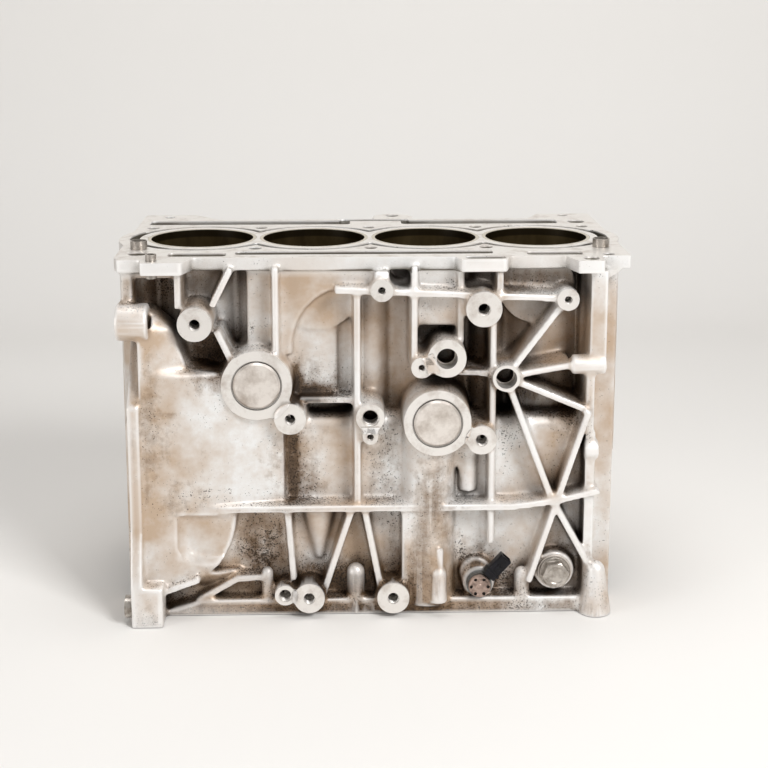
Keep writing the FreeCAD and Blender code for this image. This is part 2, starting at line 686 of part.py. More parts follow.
def side_solids():
    """Ribs, bosses, webs and columns of the ribbed side."""
    pieces = []
    for start, end, front in RIBS:
        pieces.append(rib(f"rib_{start}_to_{end}", spot(start), spot(end), front))
    pieces.append(rib("rail_rib", spot("rail_rib_left"), spot("rail_rib_right"), "(rib_front + 2)",
                      "rail_rib_height"))
    for name in BOSSES:
        x, z = spot(name)
        pieces.append(cone(name, "y", f"{name}_radius", f"{name}_radius + rib_draft",
                           (x, f"-{name}_front", z), f"{name}_front - rib_root"))
    for name in PLUG_BOSSES:
        x, z = spot(name)
        pieces.append(cone(name + "_boss", "y", f"{name}_radius", f"{name}_radius + 2 * rib_draft",
                           (x, f"-{name}_front", z), f"{name}_front - rib_root"))
    pieces.append(box("stay_boss_column", ("stay_boss_x - 5", "stay_boss_x + 5"), ("-rib_front", "-rib_root"),
                      ("deck_height - stay_boss_drop", UNDER_DECK)))
    pieces.append(box("feed_bridge", ("feed_screw_boss_x", "feed_boss_x"), ("-rib_front", "-rib_root"),
                      ("deck_height - feed_boss_drop - 11", "deck_height - feed_boss_drop + 2")))
    web = box("front_web_left", (spot("left_web_top")[0], "stay_boss_x"),
              ("-front_web", "-front_web + front_web_wall"),
              ("deck_height - cross_rib_drop - arch_radius - 6", UNDER_DECK))
    arch = cylinder("arch", "y", "arch_radius", ("centre_stay_top_x - arch_offset", "-front_web - 1",
                    "deck_height - cross_rib_drop - arch_radius"), "front_web_wall + 2")
    pieces.append(cut("arched_web", web, arch))
    pieces.append(box("arch_floor_wall", ("left_web_top_x", "centre_stay_top_x - arch_radius / 3"),
                      ("-arch_floor", "-rib_root"), ("arch_floor_foot", "deck_height - cross_rib_drop")))
    pieces.append(box("plug_web", ("-plug_web_left", "left_web_top_x"), ("-plug_web_front", "-rib_root"),
                      ("deck_height - left_plug_drop", UNDER_DECK)))
    below_deck = box("below_deck", ("-case_left", "case_right"), ("-rib_front", "-rib_root"),
                     ("case_top", f"{UNDER_DECK} + 1"))
    left_disc = cylinder("left_disc", "y", "bulge_left_radius",
                         ("bulge_left_x", "-arch_floor - 2", "deck_height - cross_rib_drop"),
                         "arch_floor + 2 - rib_root")
    right_disc = cylinder("right_disc", "y", "bulge_right_radius",
                          ("bulge_right_x", "-arch_floor + 4", "deck_height - bulge_right_drop"),
                          "arch_floor - 4 - rib_root")
    pieces.append(common("left_bulge", left_disc, below_deck))
    pieces.append(common("right_bulge", right_disc, below_deck))
    pieces.append(box("front_web_right", ("feed_stay_top_x", "feed_web_top_x"),
                      ("-front_web", "-front_web + front_web_wall"),
                      ("deck_height - cross_rib_drop - 28", UNDER_DECK)))
    pieces.append(cylinder("case_column", "z", "column_radius_front",
                           ("column_x", "-case_half_width", f"{SUMP} + column_lift"),
                           "column_top + skirt_depth - column_lift"))
    pieces.append(cone("case_vee", "z", "vee_foot_radius", "vee_top_radius",
                       ("vee_x", "-case_half_width", "vee_foot"), "rail_rib_z - vee_foot"))
    pieces.append(cone("gusset_prop", "z", "prop_foot_radius", "prop_top_radius",
                       ("prop_x", "-case_half_width", "prop_foot"), "gusset_boss_rise - prop_foot"))
    dome = sphere("pillow_dome", "pillow_radius", ("pillow_x", "-pillow_front + pillow_radius", "pillow_z"))
    patch = box("pillow_patch", ("pillow_x - pillow_radius / 2", "pillow_x + pillow_radius / 2"),
                ("-rib_front - 10", "-case_half_width"), (f"{SUMP} + rail_thickness", "rail_rib_z"))
    pieces.append(common("pillow", dome, patch))
    for name in SUMP_BOSSES:
        centre = (f"{name}_x", "-rail_half_width + 6", f"-{name}_drop - {name}_radius")
        pieces.append(cylinder(name, "z", f"{name}_radius", (centre[0], centre[1], SUMP),
                               f"skirt_depth - {name}_drop - {name}_radius"))
        pieces.append(sphere(name + "_dome", f"{name}_radius", centre))
    pieces.append(cone("lock_plug_boss", "y", "lock_boss_radius", "lock_boss_radius + 3",
                       ("lock_plug_x", "-lock_boss_front", "lock_plug_z"), "lock_boss_front - rib_root"))
    pieces.append(cone("valve_boss", "y", "valve_boss_radius", "valve_boss_radius + 2",
                       ("valve_x", "-valve_boss_front", "valve_z"), "valve_boss_front - rib_root"))
    pieces.append(cone("valve_crown", "y", "valve_boss_radius", "valve_boss_radius + 1",
                       ("valve_crown_x", "-valve_crown_front", "valve_crown_z"), "valve_crown_front - rib_root"))
    return pieces


def gearbox_solids():
    """The gearbox flange with its lugs, and the flared wall that carries it."""
    pieces = []
    sections = []
    for name in FLARE:
        near = f"-{name}_right"
        middle = f"(-{name}_right / 2 - flange_face / 2)"
        sections.append(free_sketch(name, "xy", [
            ("-flange_face + flange_thickness", "-pocket_back"),
            ("-flange_face + flange_thickness", "-flange_front + 3"),
            (middle, f"-flange_front / 2 - {name}_front / 2"),
            (near, f"-{name}_front"), (near, "-pocket_back")],
            ("0", "0", f"{name}_z")))
    flare = document.addObject("Part::Loft", "flare")
    flare.Sections = sections
    flare.Solid = True
    flare.Ruled = True
    pieces.append(flare)
    pieces.append(extrusion("flange", "yz", [
        ("-lug_front", SUMP), ("lug_front", SUMP), ("lug_front", "-lug_top"), ("flange_front", "lug_top"),
        ("flange_front", "flange_top"), ("top_lug_y", "flange_top + 12"),
        ("end_wall_reach + 8", "top_lug_z"), ("-end_wall_reach - 8", "top_lug_z"),
        ("-top_lug_y", "flange_top + 12"), ("-flange_front", "flange_top"), ("-flange_front", "lug_top"),
        ("-lug_front", "-lug_top")], ("-flange_face", "0", "0"), "flange_thickness"))
    for side, sign in (("front", -1), ("back", 1)):
        outer = f"({sign} * lug_front)"
        inner = f"({sign} * (lug_front - 22))"
        span = (outer, inner) if sign < 0 else (inner, outer)
        pieces.append(box(f"lower_lug_{side}", ("-flange_face", "-lug_right"), span, (SUMP, "-lug_top")))
        pieces.append(cylinder(f"top_lug_{side}", "x", "top_lug_radius",
                               ("-top_lug_face", f"{sign} * top_lug_y", "top_lug_z"),
                               "top_lug_face - top_lug_right"))
        pieces.append(box(f"top_lug_web_{side}", ("-top_lug_face + 4", "-top_lug_right"),
                          (f"{sign} * top_lug_y / 2 - top_lug_y / 2", f"{sign} * top_lug_y / 2 + top_lug_y / 2"),
                          ("top_lug_z - 5", "top_lug_z + 5")))
    return pieces


def timing_solids():
    """Stepped edge of the timing end with its lugs and the brace under the deck corner."""
    front = ("-timing_edge_front", "timing_edge_front")
    pieces = [
        box("timing_edge_upper", ("timing_upper_left", "timing_upper_right"), front,
            ("deck_height - timing_upper_drop", UNDER_DECK)),
        box("timing_edge_middle", ("timing_middle_left", "timing_middle_right"), front,
            ("timing_lower_top - 1", "deck_height - timing_upper_drop + 1")),
        box("timing_edge_lower", ("timing_lower_left", "timing_lower_right"), front,
            (SUMP, "timing_lower_top")),
        cylinder("timing_lug", "x", "timing_lug_radius",
                 ("timing_lug_x", "-timing_edge_front + 4", spot("timing_lug")[1]), "timing_lug_length"),
        cylinder("timing_low_lug", "x", "timing_low_lug_radius",
                 ("timing_lower_left - 1", "-timing_edge_front + 3", "timing_low_lug_z"), "timing_low_lug_length"),
    ]
    for side, y in (("front", "-corner_brace_inner"), ("back", "corner_brace_outer")):
        pieces.append(extrusion(f"corner_brace_{side}", "xz", [
            ("timing_upper_left + 1", f"{UNDER_DECK} + 1"), (f"{RIGHT_FACE} - 6", f"{UNDER_DECK} + 1"),
            (f"{RIGHT_FACE} - 6", f"{UNDER_DECK} - 2"), ("timing_upper_left + 1", f"{UNDER_DECK} - corner_brace_drop")],
            ("0", y, "0"), "corner_brace_outer - corner_brace_inner"))
    return pieces


def back_solids():
    """Ribs, bosses and the filter pad of the plain long side."""
    pieces = []
    for count, x in enumerate(WEBS + BORES, 1):
        pieces.append(box(f"back_rib_{count}", (f"{x} - rib_width / 2", f"{x} + rib_width / 2"),
                          ("pocket_back", "rail_half_width - 2"), (f"{SUMP} + back_rib_lift", "case_top + 8")))
    pieces.append(box("back_rail_rib", ("-case_left + 20", "case_right - 4"), ("pocket_back", "rail_half_width"),
                      ("rail_rib_z - rail_rib_height / 2", "rail_rib_z + rail_rib_height / 2")))
    pieces.append(cone("filter_pad", "y", "filter_radius", "filter_face_radius",
                       ("filter_x", "pocket_back", "filter_z"), "filter_depth"))
    for name in BACK_BOSSES:
        pieces.append(cone(name, "y", f"{name}_radius + 2", f"{name}_radius",
                           (f"{name}_x", "pocket_back", f"{name}_z"), "back_boss_height"))
    return pieces


# ---- The casting: cavities ----

def bore_cuts():
    pieces = []
    for count, x in enumerate(BORES, 1):
        pieces.append(cylinder(f"liner_pocket_{count}", "z", LINER_RADIUS,
                               (x, "0", "deck_height - liner_length"), "liner_length + 1"))
        pieces.append(cylinder(f"bore_mouth_{count}", "z", "bore / 2 + 0.5", (x, "0", "bay_crown"),
                               "deck_height - liner_length - bay_crown + 1"))
    outer = [cylinder(f"jacket_outer_{count}", "z", JACKET_RADIUS, (x, "0", "deck_height - jacket_depth"),
                      "jacket_depth + 1") for count, x in enumerate(BORES, 1)]
    for side, x, sign in (("gearbox", FIRST_BORE, -1), ("timing", LAST_BORE, 1)):
        round_end = cylinder(f"{side}_jacket_end", "z", f"{BARREL_RADIUS} + end_gap",
                             (x, "0", "deck_height - jacket_depth"), "jacket_depth + 1")
        reach = f"({x} + {sign} * ({BARREL_RADIUS} + end_gap + 1))"
        near = f"({x} + {sign} * bore / 2)"
        span = (reach, near) if sign < 0 else (near, reach)
        limit = box(f"{side}_jacket_limit", span, ("-28", "28"),
                    ("deck_height - jacket_depth - 1", "deck_height + 2"))
        outer.append(common(f"{side}_jacket_bulge", round_end, limit))
    inner = [cylinder(f"barrel_{count}", "z", BARREL_RADIUS, (x, "0", "deck_height - jacket_depth - 2"),
                      "jacket_depth + 4") for count, x in enumerate(BORES, 1)]
    columns = [cylinder(f"column_core_{count}_{side}", "z", "head_bolt_hole / 2 + 2.5",
                        (x, f"{sign} * head_bolt_offset", "deck_height - jacket_depth - 2"), "jacket_depth + 4")
               for count, x in enumerate(WEBS, 1) for side, sign in (("front", -1), ("back", 1))]
    pieces.append(cut("water_jacket", fuse("jacket_space", outer), fuse("jacket_cores", inner + columns)))
    return pieces


def deck_cuts():
    pieces = []
    for count, x in enumerate(WEBS, 1):
        for side, sign in (("front", -1), ("back", 1)):
            pieces.append(cylinder(f"bolt_hole_{count}_{side}", "z", "head_bolt_hole / 2",
                                   (x, f"{sign} * head_bolt_offset", "deck_height - head_bolt_depth"),
                                   "head_bolt_depth + 1"))
    for side, x in (("left", WEBS[0]), ("right", WEBS[-1])):
        pieces.append(cylinder(f"dowel_seat_{side}", "z", "ring_dowel / 2",
                               (x, "-head_bolt_offset", "deck_height - ring_dowel_seat"), "ring_dowel_seat + 1"))
    for name in DECK_HOLES:
        pieces.append(cylinder(name, "z", f"{name}_radius", (f"{name}_x", f"{name}_y", f"deck_height - {name}_depth"),
                               f"{name}_depth + 1"))
    through = (f"{UNDER_DECK} - 1", "deck_height + 1")
    for name in DECK_SLOTS:
        pieces.append(box(name, (f"{name}_left", f"{name}_right"), (f"{name}_front", f"{name}_back"), through))
    deep = ("slot_floor", "deck_height + 1")
    pieces.append(box("breather_slot_left", ("-slot_left", "-slot_jog"), ("slot_front", "slot_back"), deep))
    pieces.append(box("breather_slot_right", ("slot_jog + 12", "slot_right"), ("slot_front", "slot_back"), deep))
    pieces.append(box("breather_slot_middle", ("-slot_jog - 8", "slot_jog + 18"),
                      ("slot_back - 3", "rim_back - 1"), deep))
    return pieces


def crankcase_cuts():
    """Four bays, the main bearing bores with their cap seats, bolt holes, the seal seat and the gallery."""
    pieces = []
    for count, x in enumerate(BORES, 1):
        pieces.append(extrusion(f"bay_{count}", "yz", [
            ("-bay_half_width", f"{SUMP} - 1"), ("bay_half_width", f"{SUMP} - 1"),
            ("bay_half_width", "bay_top - bay_shoulder"), ("bay_crown", "bay_top"),
            ("-bay_crown", "bay_top"), ("-bay_half_width", "bay_top - bay_shoulder")],
            (f"{x} - bore_pitch / 2 + web_thickness / 2", "0", "0"), "bore_pitch - web_thickness"))
    pieces.append(cylinder("main_bearing_tunnel", "x", "main_bore / 2", (f"{LEFT_FACE} - 20", "0", "0"),
                           "4 * bore_pitch + gearbox_overhang + timing_overhang + 40"))
    for count, x in enumerate(WEBS, 1):
        pieces.append(box(f"cap_seat_{count}", (f"{x} - web_thickness / 2 - 8", f"{x} + web_thickness / 2 + 8"),
                          ("-cap_half_width", "cap_half_width"), (f"{SUMP} - 1", "0")))
        for side, sign in (("front", -1), ("back", 1)):
            pieces.append(cylinder(f"cap_bolt_hole_{count}_{side}", "z", "cap_bolt_hole / 2",
                                   (x, f"{sign} * cap_bolt_offset", "-1"), "cap_bolt_reach + 4"))
    pieces.append(cylinder("seal_seat_bore", "x", "seal_seat / 2", (f"{LEFT_FACE} - 2", "0", "0"),
                           f"-case_left - {LEFT_FACE} + 2 + seal_seat_depth"))
    pieces.append(cylinder("main_gallery", "x", "gallery_bore / 2", (f"{LEFT_FACE} - 10", "gallery_y", "gallery_z"),
                           "4 * bore_pitch + gearbox_overhang + timing_overhang + 20"))
    pieces.append(cylinder("gallery_mouth_left", "x", "gallery_plug / 2", (f"{LEFT_FACE} - 10", "gallery_y", "gallery_z"),
                           f"-flange_face - {LEFT_FACE} + 10 + gallery_plug_depth"))
    pieces.append(cylinder("gallery_mouth_right", "x", "gallery_plug / 2",
                           ("case_right - gallery_plug_depth", "gallery_y", "gallery_z"), "60"))
    return pieces


def side_cuts():
    pieces = []
    for name in BOSSES:
        x, z = spot(name)
        pieces.append(cylinder(name + "_hole", "y", f"{name}_hole", (x, f"-{name}_front - 1", z), "24"))
    for name in PLUG_BOSSES:
        x, z = spot(name)
        pieces.append(cylinder(name + "_hole", "y", "plug_radius + plug_fit", (x, f"-{name}_front - 1", z),
                               "plug_depth + 1"))
        pieces.append(cylinder(name + "_groove", "y", "plug_radius + plug_groove", (x, f"-{name}_front - 1", z),
                               "plug_groove_depth + 1"))
        pieces.append(cylinder(name + "_mouth", "y", "plug_radius - 3", (x, f"-{name}_front", z),
                               f"{name}_front - pocket_back"))
    pieces.append(cylinder("lock_hole", "y", "lock_thread / 2", ("lock_plug_x", "-lock_boss_front - 1", "lock_plug_z"), "30"))
    pieces.append(cylinder("valve_hole", "y", "valve_bore / 2", ("valve_x", "-valve_boss_front - 1", "valve_z"), "30"))
    pieces.append(cylinder("gearbox_dowel_seat_lower", "x", "gearbox_dowel / 2",
                           ("-flange_face - 1", "-gearbox_dowel_y", "-gearbox_dowel_z"), "gearbox_dowel_seat + 1"))
    pieces.append(cylinder("gearbox_dowel_seat_upper", "x", "gearbox_dowel / 2",
                           ("-top_lug_face - 1", "top_lug_y", "top_lug_z"), "gearbox_dowel_seat + 1"))
    pieces.append(cylinder("gearbox_bolt_upper", "x", "6", ("-top_lug_face - 1", "-top_lug_y", "top_lug_z"),
                           "top_lug_face - top_lug_right + 2"))
    pieces.append(cylinder("filter_port", "y", "filter_port_radius",
                           ("filter_x", "pocket_back + filter_depth - 20", "filter_z"), "30"))
    for name in BACK_BOSSES:
        pieces.append(cylinder(name + "_hole", "y", f"{name}_hole",
                               (f"{name}_x", "pocket_back + back_boss_height - 18", f"{name}_z"), "back_hole_depth"))
    return pieces


def make_casting():
    solids = (deck_solids() + jacket_solids() + crankcase_solids() + side_solids()
              + gearbox_solids() + timing_solids() + back_solids())
    casting = fuse("raw_casting", solids)
    # Joining the flat faces of this first shape would spoil the flared wall; the cuts join them later.
    casting.Refine = False
    casting = cut("cored_casting", casting, fuse("bore_cavities", bore_cuts()))
    casting = cut("decked_casting", casting, fuse("deck_cavities", deck_cuts()))
    casting = cut("bored_casting", casting, fuse("crankcase_cavities", crankcase_cuts()))
    casting = cut("cylinder_block", casting, fuse("side_holes", side_cuts()))
    return [casting]


# ---- The pieces fitted to the casting ----

def origin_plane(body, role):
    return next(feature for feature in body.Origin.OriginFeatures if feature.Role == role)


def body_sketch(body, name, role):
    sketch = body.newObject("Sketcher::SketchObject", name)
    sketch.AttachmentSupport = [(origin_plane(body, role), "")]
    sketch.MapMode = "FlatFace"
    return sketch


def turned(name, corners, axis, place):
    """A body turned from a half section given as radius and height, standing along one axis."""
    body = document.addObject("PartDesign::Body", name)
    sketch = body_sketch(body, name + "_section", "XZ_Plane")
    add_corners(sketch, corners)
    turning = body.newObject("PartDesign::Revolution", name + "_turning")
    turning.Profile = sketch
    turning.ReferenceAxis = (sketch, ["V_Axis"])
    turning.Angle = 360
    body.Placement = Placement(Vector(), TOWARDS[axis])
    put(body, *place)
    return body


def tube(name, axis, outer, inner, place, low, high):
    return turned(name, [(inner, low), (outer, low), (outer, high), (inner, high)], axis, place)


def hexagon(flats):
    """Corners of a hexagon from its width across flats."""
    half = f"({flats} / 2)"
    reach = f"({flats} / sqrt(3))"
    return [(reach, "0"), (f"{reach} / 2", half), (f"-{reach} / 2", half),
            (f"-{reach}", "0"), (f"-{reach} / 2", f"-{half}"), (f"{reach} / 2", f"-{half}")]


def add_pad(body, name, role, corners, start, length):
    """Push an outline out of a body's own plane."""
    sketch = body_sketch(body, name + "_outline", role)
    add_corners(sketch, corners)
    bind(sketch, "AttachmentOffset.Base.z", start)
    pad = body.newObject("PartDesign::Pad", name)
    pad.Profile = sketch
    bind(pad, "Length", length)
    return pad


def make_liners():
    return [tube(f"cylinder_liner_{count}", "z", f"{LINER_RADIUS} - cast_fit", "bore / 2",
                 (x, "0", "deck_height"), "-liner_length", "0") for count, x in enumerate(BORES, 1)]


def make_cap(name, x):
    """A main bearing cap: a stepped block with the lower half of the bearing bore and two bolt holes."""
    body = document.addObject("PartDesign::Body", name)
    add_pad(body, name + "_block", "YZ_Plane", [
        ("cap_half_width - cap_fit", "-cap_fit"), ("cap_half_width - cap_fit", "-cap_shoulder"),
        ("cap_crown", "-cap_shoulder"), ("cap_crown - 6", "-cap_depth"), ("-cap_crown + 6", "-cap_depth"),
        ("-cap_crown", "-cap_shoulder"), ("-cap_half_width + cap_fit", "-cap_shoulder"),
        ("-cap_half_width + cap_fit", "-cap_fit")], "0", "web_thickness")
    bearing = body_sketch(body, name + "_bearing", "YZ_Plane")
    add_circle(bearing, ("0", "0"), "main_bore / 2")
    saddle = body.newObject("PartDesign::Pocket", name + "_saddle")
    saddle.Profile = bearing
    saddle.Type = "ThroughAll"
    saddle.Reversed = True
    bolts = body_sketch(body, name + "_bolts", "XY_Plane")
    for sign in (-1, 1):
        add_circle(bolts, ("web_thickness / 2", f"{sign} * cap_bolt_offset"), "cap_bolt_hole / 2 + 0.2")
    holes = body.newObject("PartDesign::Pocket", name + "_holes")
    holes.Profile = bolts
    holes.Type = "ThroughAll"
    put(body, f"{x} - web_thickness / 2", "0", "0")
    return body


def make_cap_bolt(name, x, y):
    """A flanged hexagon bolt standing upside down in its cap."""
    bolt = turned(name, [
        ("0", "cap_bolt_reach"), ("0", "-cap_shoulder - cap_bolt_flange_height"),
        ("cap_bolt_flange / 2", "-cap_shoulder - cap_bolt_flange_height"),
        ("cap_bolt_flange / 2", "-cap_shoulder"), ("cap_bolt / 2", "-cap_shoulder"),
        ("cap_bolt / 2", "cap_bolt_reach - 1"), ("cap_bolt / 2 - 1", "cap_bolt_reach")], "z", (x, y, "0"))
    add_pad(bolt, name + "_head", "XY_Plane", hexagon("cap_bolt_head"),
            "-cap_shoulder - cap_bolt_flange_height - cap_bolt_head_height", "cap_bolt_head_height + 0.5")
    return bolt


def make_bearings():
    pieces = []
    for count, x in enumerate(WEBS, 1):
        pieces.append(make_cap(f"main_bearing_cap_{count}", x))
        for side, sign in (("front", -1), ("back", 1)):
            pieces.append(make_cap_bolt(f"main_cap_bolt_{count}_{side}", x, f"{sign} * cap_bolt_offset"))
    return pieces


def make_core_plug(name, spot_name):
    """A pressed cup plug: a flat face with a rounded edge, standing a little proud, and hollow behind."""
    x, z = spot(spot_name)
    return turned(name, [
        ("0", "-plug_stand"), ("plug_radius - plug_edge", "-plug_stand"),
        ("plug_radius", "-plug_stand + plug_edge"), ("plug_radius", "plug_depth"),
        ("plug_radius - plug_sheet", "plug_depth"), ("plug_radius - plug_sheet", "plug_sheet"),
        ("0", "plug_sheet")], "y", (x, f"-{spot_name}_front", z))


def make_dowels():
    pieces = []
    for side, x in (("left", WEBS[0]), ("right", WEBS[-1])):
        pieces.append(tube(f"deck_dowel_{side}", "z", "ring_dowel / 2 - cast_fit",
                           "ring_dowel / 2 - ring_dowel_wall", (x, "-head_bolt_offset", "deck_height"),
                           "-ring_dowel_seat", "ring_dowel_stand"))
    pieces.append(tube("deck_locating_sleeve", "z", "locating_sleeve / 2 - cast_fit",
                       "locating_sleeve / 2 - locating_sleeve_wall",
                       ("pad_hole_left_x", "pad_hole_left_y", "deck_height"), "-12", "4.5"))
    for side, y, z, face in (("lower", "-gearbox_dowel_y", "-gearbox_dowel_z", "-flange_face"),
                             ("upper", "top_lug_y", "top_lug_z", "-top_lug_face")):
        pieces.append(tube(f"gearbox_dowel_{side}", "x", "gearbox_dowel / 2 - cast_fit",
                           "gearbox_dowel / 2 - gearbox_dowel_wall", (face, y, z),
                           "-gearbox_dowel_stand", "gearbox_dowel_seat"))
    return pieces


def make_gallery_plugs():
    pieces = []
    for side, face, low in (("left", "-flange_face", "0"), ("right", "case_right", "-gallery_plug_depth")):
        pieces.append(turned(f"gallery_plug_{side}", [
            ("0", low), ("gallery_plug / 2 - cast_fit", low),
            ("gallery_plug / 2 - cast_fit", f"{low} + gallery_plug_depth"), ("0", f"{low} + gallery_plug_depth")],
            "x", (face, "gallery_y", "gallery_z")))
    return pieces


def make_lock_plug():
    """The hexagon plug of the crankshaft locking hole and its sealing washer."""
    face = "-lock_boss_front"
    washer = tube("crank_lock_washer", "y", "lock_washer / 2", "lock_thread / 2 + cast_fit",
                  ("lock_plug_x", face, "lock_plug_z"), "-lock_washer_height", "0")
    plug = turned("crank_lock_plug", [
        ("0", "-lock_washer_height - 2"), ("lock_washer / 2 - 1", "-lock_washer_height - 2"),
        ("lock_washer / 2 - 1", "-lock_washer_height"), ("lock_thread / 2 - cast_fit", "-lock_washer_height"),
        ("lock_thread / 2 - cast_fit", "lock_reach"), ("0", "lock_reach")],
        "y", ("lock_plug_x", face, "lock_plug_z"))
    add_pad(plug, "crank_lock_head", "XY_Plane", hexagon("lock_flats"),
            "-lock_washer_height - 2 - lock_head_height", "lock_head_height + 0.5")
    return [washer, plug]


def make_valve():
    """The oil pressure valve: a flanged body in its boss, a crimped cap and an angled connector."""
    place = ("valve_x", "-valve_boss_front", "valve_z")
    body = turned("oil_valve_body", [
        ("0", "-valve_height"), ("valve_radius", "-valve_height"), ("valve_radius", "0"),
        ("valve_bore / 2 - cast_fit", "0"), ("valve_bore / 2 - cast_fit", "valve_reach"), ("0", "valve_reach")],
        "y", place)
    cap = turned("oil_valve_cap", [
        ("0", "-valve_height - valve_cap_height"), ("valve_cap_radius - 1.5", "-valve_height - valve_cap_height"),
        ("valve_cap_radius", "-valve_height - valve_cap_height + 1.5"), ("valve_cap_radius", "-valve_height"),
        ("0", "-valve_height")], "y", place)
    connector = document.addObject("PartDesign::Body", "oil_valve_connector")
    add_pad(connector, "connector_shell", "XZ_Plane", [
        ("valve_radius + connector_gap", "-connector_width / 2"),
        ("valve_radius + connector_gap + connector_length", "-connector_width / 2"),
        ("valve_radius + connector_gap + connector_length", "connector_width / 2"),
        ("valve_radius + connector_gap", "connector_width / 2")], "1", "connector_height")
    connector.Placement = Placement(Vector(), Rotation(Vector(0, -1, 0), 48))
    bind(connector, "Placement.Rotation.Angle", "connector_angle")
    put(connector, "valve_x", "-valve_boss_front", "valve_z")
    return [body, cap, connector]


def make_all():
    pieces = make_casting() + make_liners() + make_bearings()
    pieces.append(make_core_plug("core_plug_left", "left_plug"))
    pieces.append(make_core_plug("core_plug_right", "right_plug"))
    return pieces + make_dowels() + make_gallery_plugs() + make_lock_plug() + make_valve()


def check(pieces):
    """Stop if any object failed or any piece has no valid solid."""
    for thing in document.Objects:
        if "Invalid" in thing.State or "Error" in thing.State:
            raise RuntimeError(f"{thing.Name} failed: {thing.State}")
    for piece in pieces:
        if piece.Shape.isNull() or not piece.Shape.isValid() or not piece.Shape.Solids:
            raise RuntimeError(f"{piece.Name} has no valid solid")


def export(pieces):
    os.makedirs("parts", exist_ok=True)
    for piece in pieces:
        piece.Label = piece.Name
        piece.Shape.exportStep(f"parts/{piece.Label}.step")
        print(piece.Label, len(piece.Shape.Solids), round(piece.Shape.Volume))


sub_parts = make_all()
document.recompute()
check(sub_parts)
export(sub_parts)
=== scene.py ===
import bmesh
import bpy
import math
import numpy as np
from functools import partial
from mathutils import Euler, Matrix, Vector
from mathutils.kdtree import KDTree


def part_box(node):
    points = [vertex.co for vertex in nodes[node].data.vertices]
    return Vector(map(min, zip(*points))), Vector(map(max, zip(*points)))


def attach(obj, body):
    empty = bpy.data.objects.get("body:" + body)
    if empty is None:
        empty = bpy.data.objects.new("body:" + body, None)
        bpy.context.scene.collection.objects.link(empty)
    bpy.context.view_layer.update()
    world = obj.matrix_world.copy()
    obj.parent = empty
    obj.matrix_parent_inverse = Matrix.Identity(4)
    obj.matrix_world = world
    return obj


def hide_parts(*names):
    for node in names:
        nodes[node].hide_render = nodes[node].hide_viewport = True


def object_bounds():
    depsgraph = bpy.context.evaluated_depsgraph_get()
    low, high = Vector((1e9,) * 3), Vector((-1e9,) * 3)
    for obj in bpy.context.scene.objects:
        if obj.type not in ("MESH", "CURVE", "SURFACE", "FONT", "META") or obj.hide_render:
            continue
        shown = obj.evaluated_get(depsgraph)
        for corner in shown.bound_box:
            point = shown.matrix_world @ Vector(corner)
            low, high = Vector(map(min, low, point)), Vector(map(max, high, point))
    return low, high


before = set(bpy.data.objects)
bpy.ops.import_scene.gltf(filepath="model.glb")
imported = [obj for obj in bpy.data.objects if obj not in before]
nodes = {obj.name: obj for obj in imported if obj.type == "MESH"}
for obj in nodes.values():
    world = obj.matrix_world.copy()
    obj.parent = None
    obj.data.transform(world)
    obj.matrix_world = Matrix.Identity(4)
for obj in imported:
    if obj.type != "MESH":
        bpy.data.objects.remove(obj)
cadLow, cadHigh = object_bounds()
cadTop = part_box("cylinder_block")[1].z
scene = bpy.context.scene
mm = 0.001


def linear(code):
    # sRGB hex to linear colour
    parts = [int(code[i:i + 2], 16) / 255 for i in (1, 3, 5)]
    return tuple(p / 12.92 if p <= 0.04045 else ((p + 0.055) / 1.055) ** 2.4 for p in parts) + (1.0,)


def addNode(tree, kind, inputs=None, **settings):
    # each input is a plain value, a hex colour, or a node or socket to link from
    node = tree.nodes.new(kind)
    for key, value in settings.items():
        setattr(node, key, value)
    for key, value in (inputs or {}).items():
        if isinstance(key, str):
            key = next(i for i, s in enumerate(node.inputs) if s.enabled and s.name == key)
        if isinstance(value, bpy.types.Node):
            value = next(s for s in value.outputs if s.enabled)
        if isinstance(value, bpy.types.NodeSocket):
            tree.links.new(value, node.inputs[key])
        elif isinstance(value, str) and value.startswith("#"):
            node.inputs[key].default_value = linear(value)
        else:
            node.inputs[key].default_value = value
    return node


def newMaterial(name):
    material = bpy.data.materials.new(name)
    material.use_nodes = True
    material.node_tree.nodes.clear()
    return material, material.node_tree


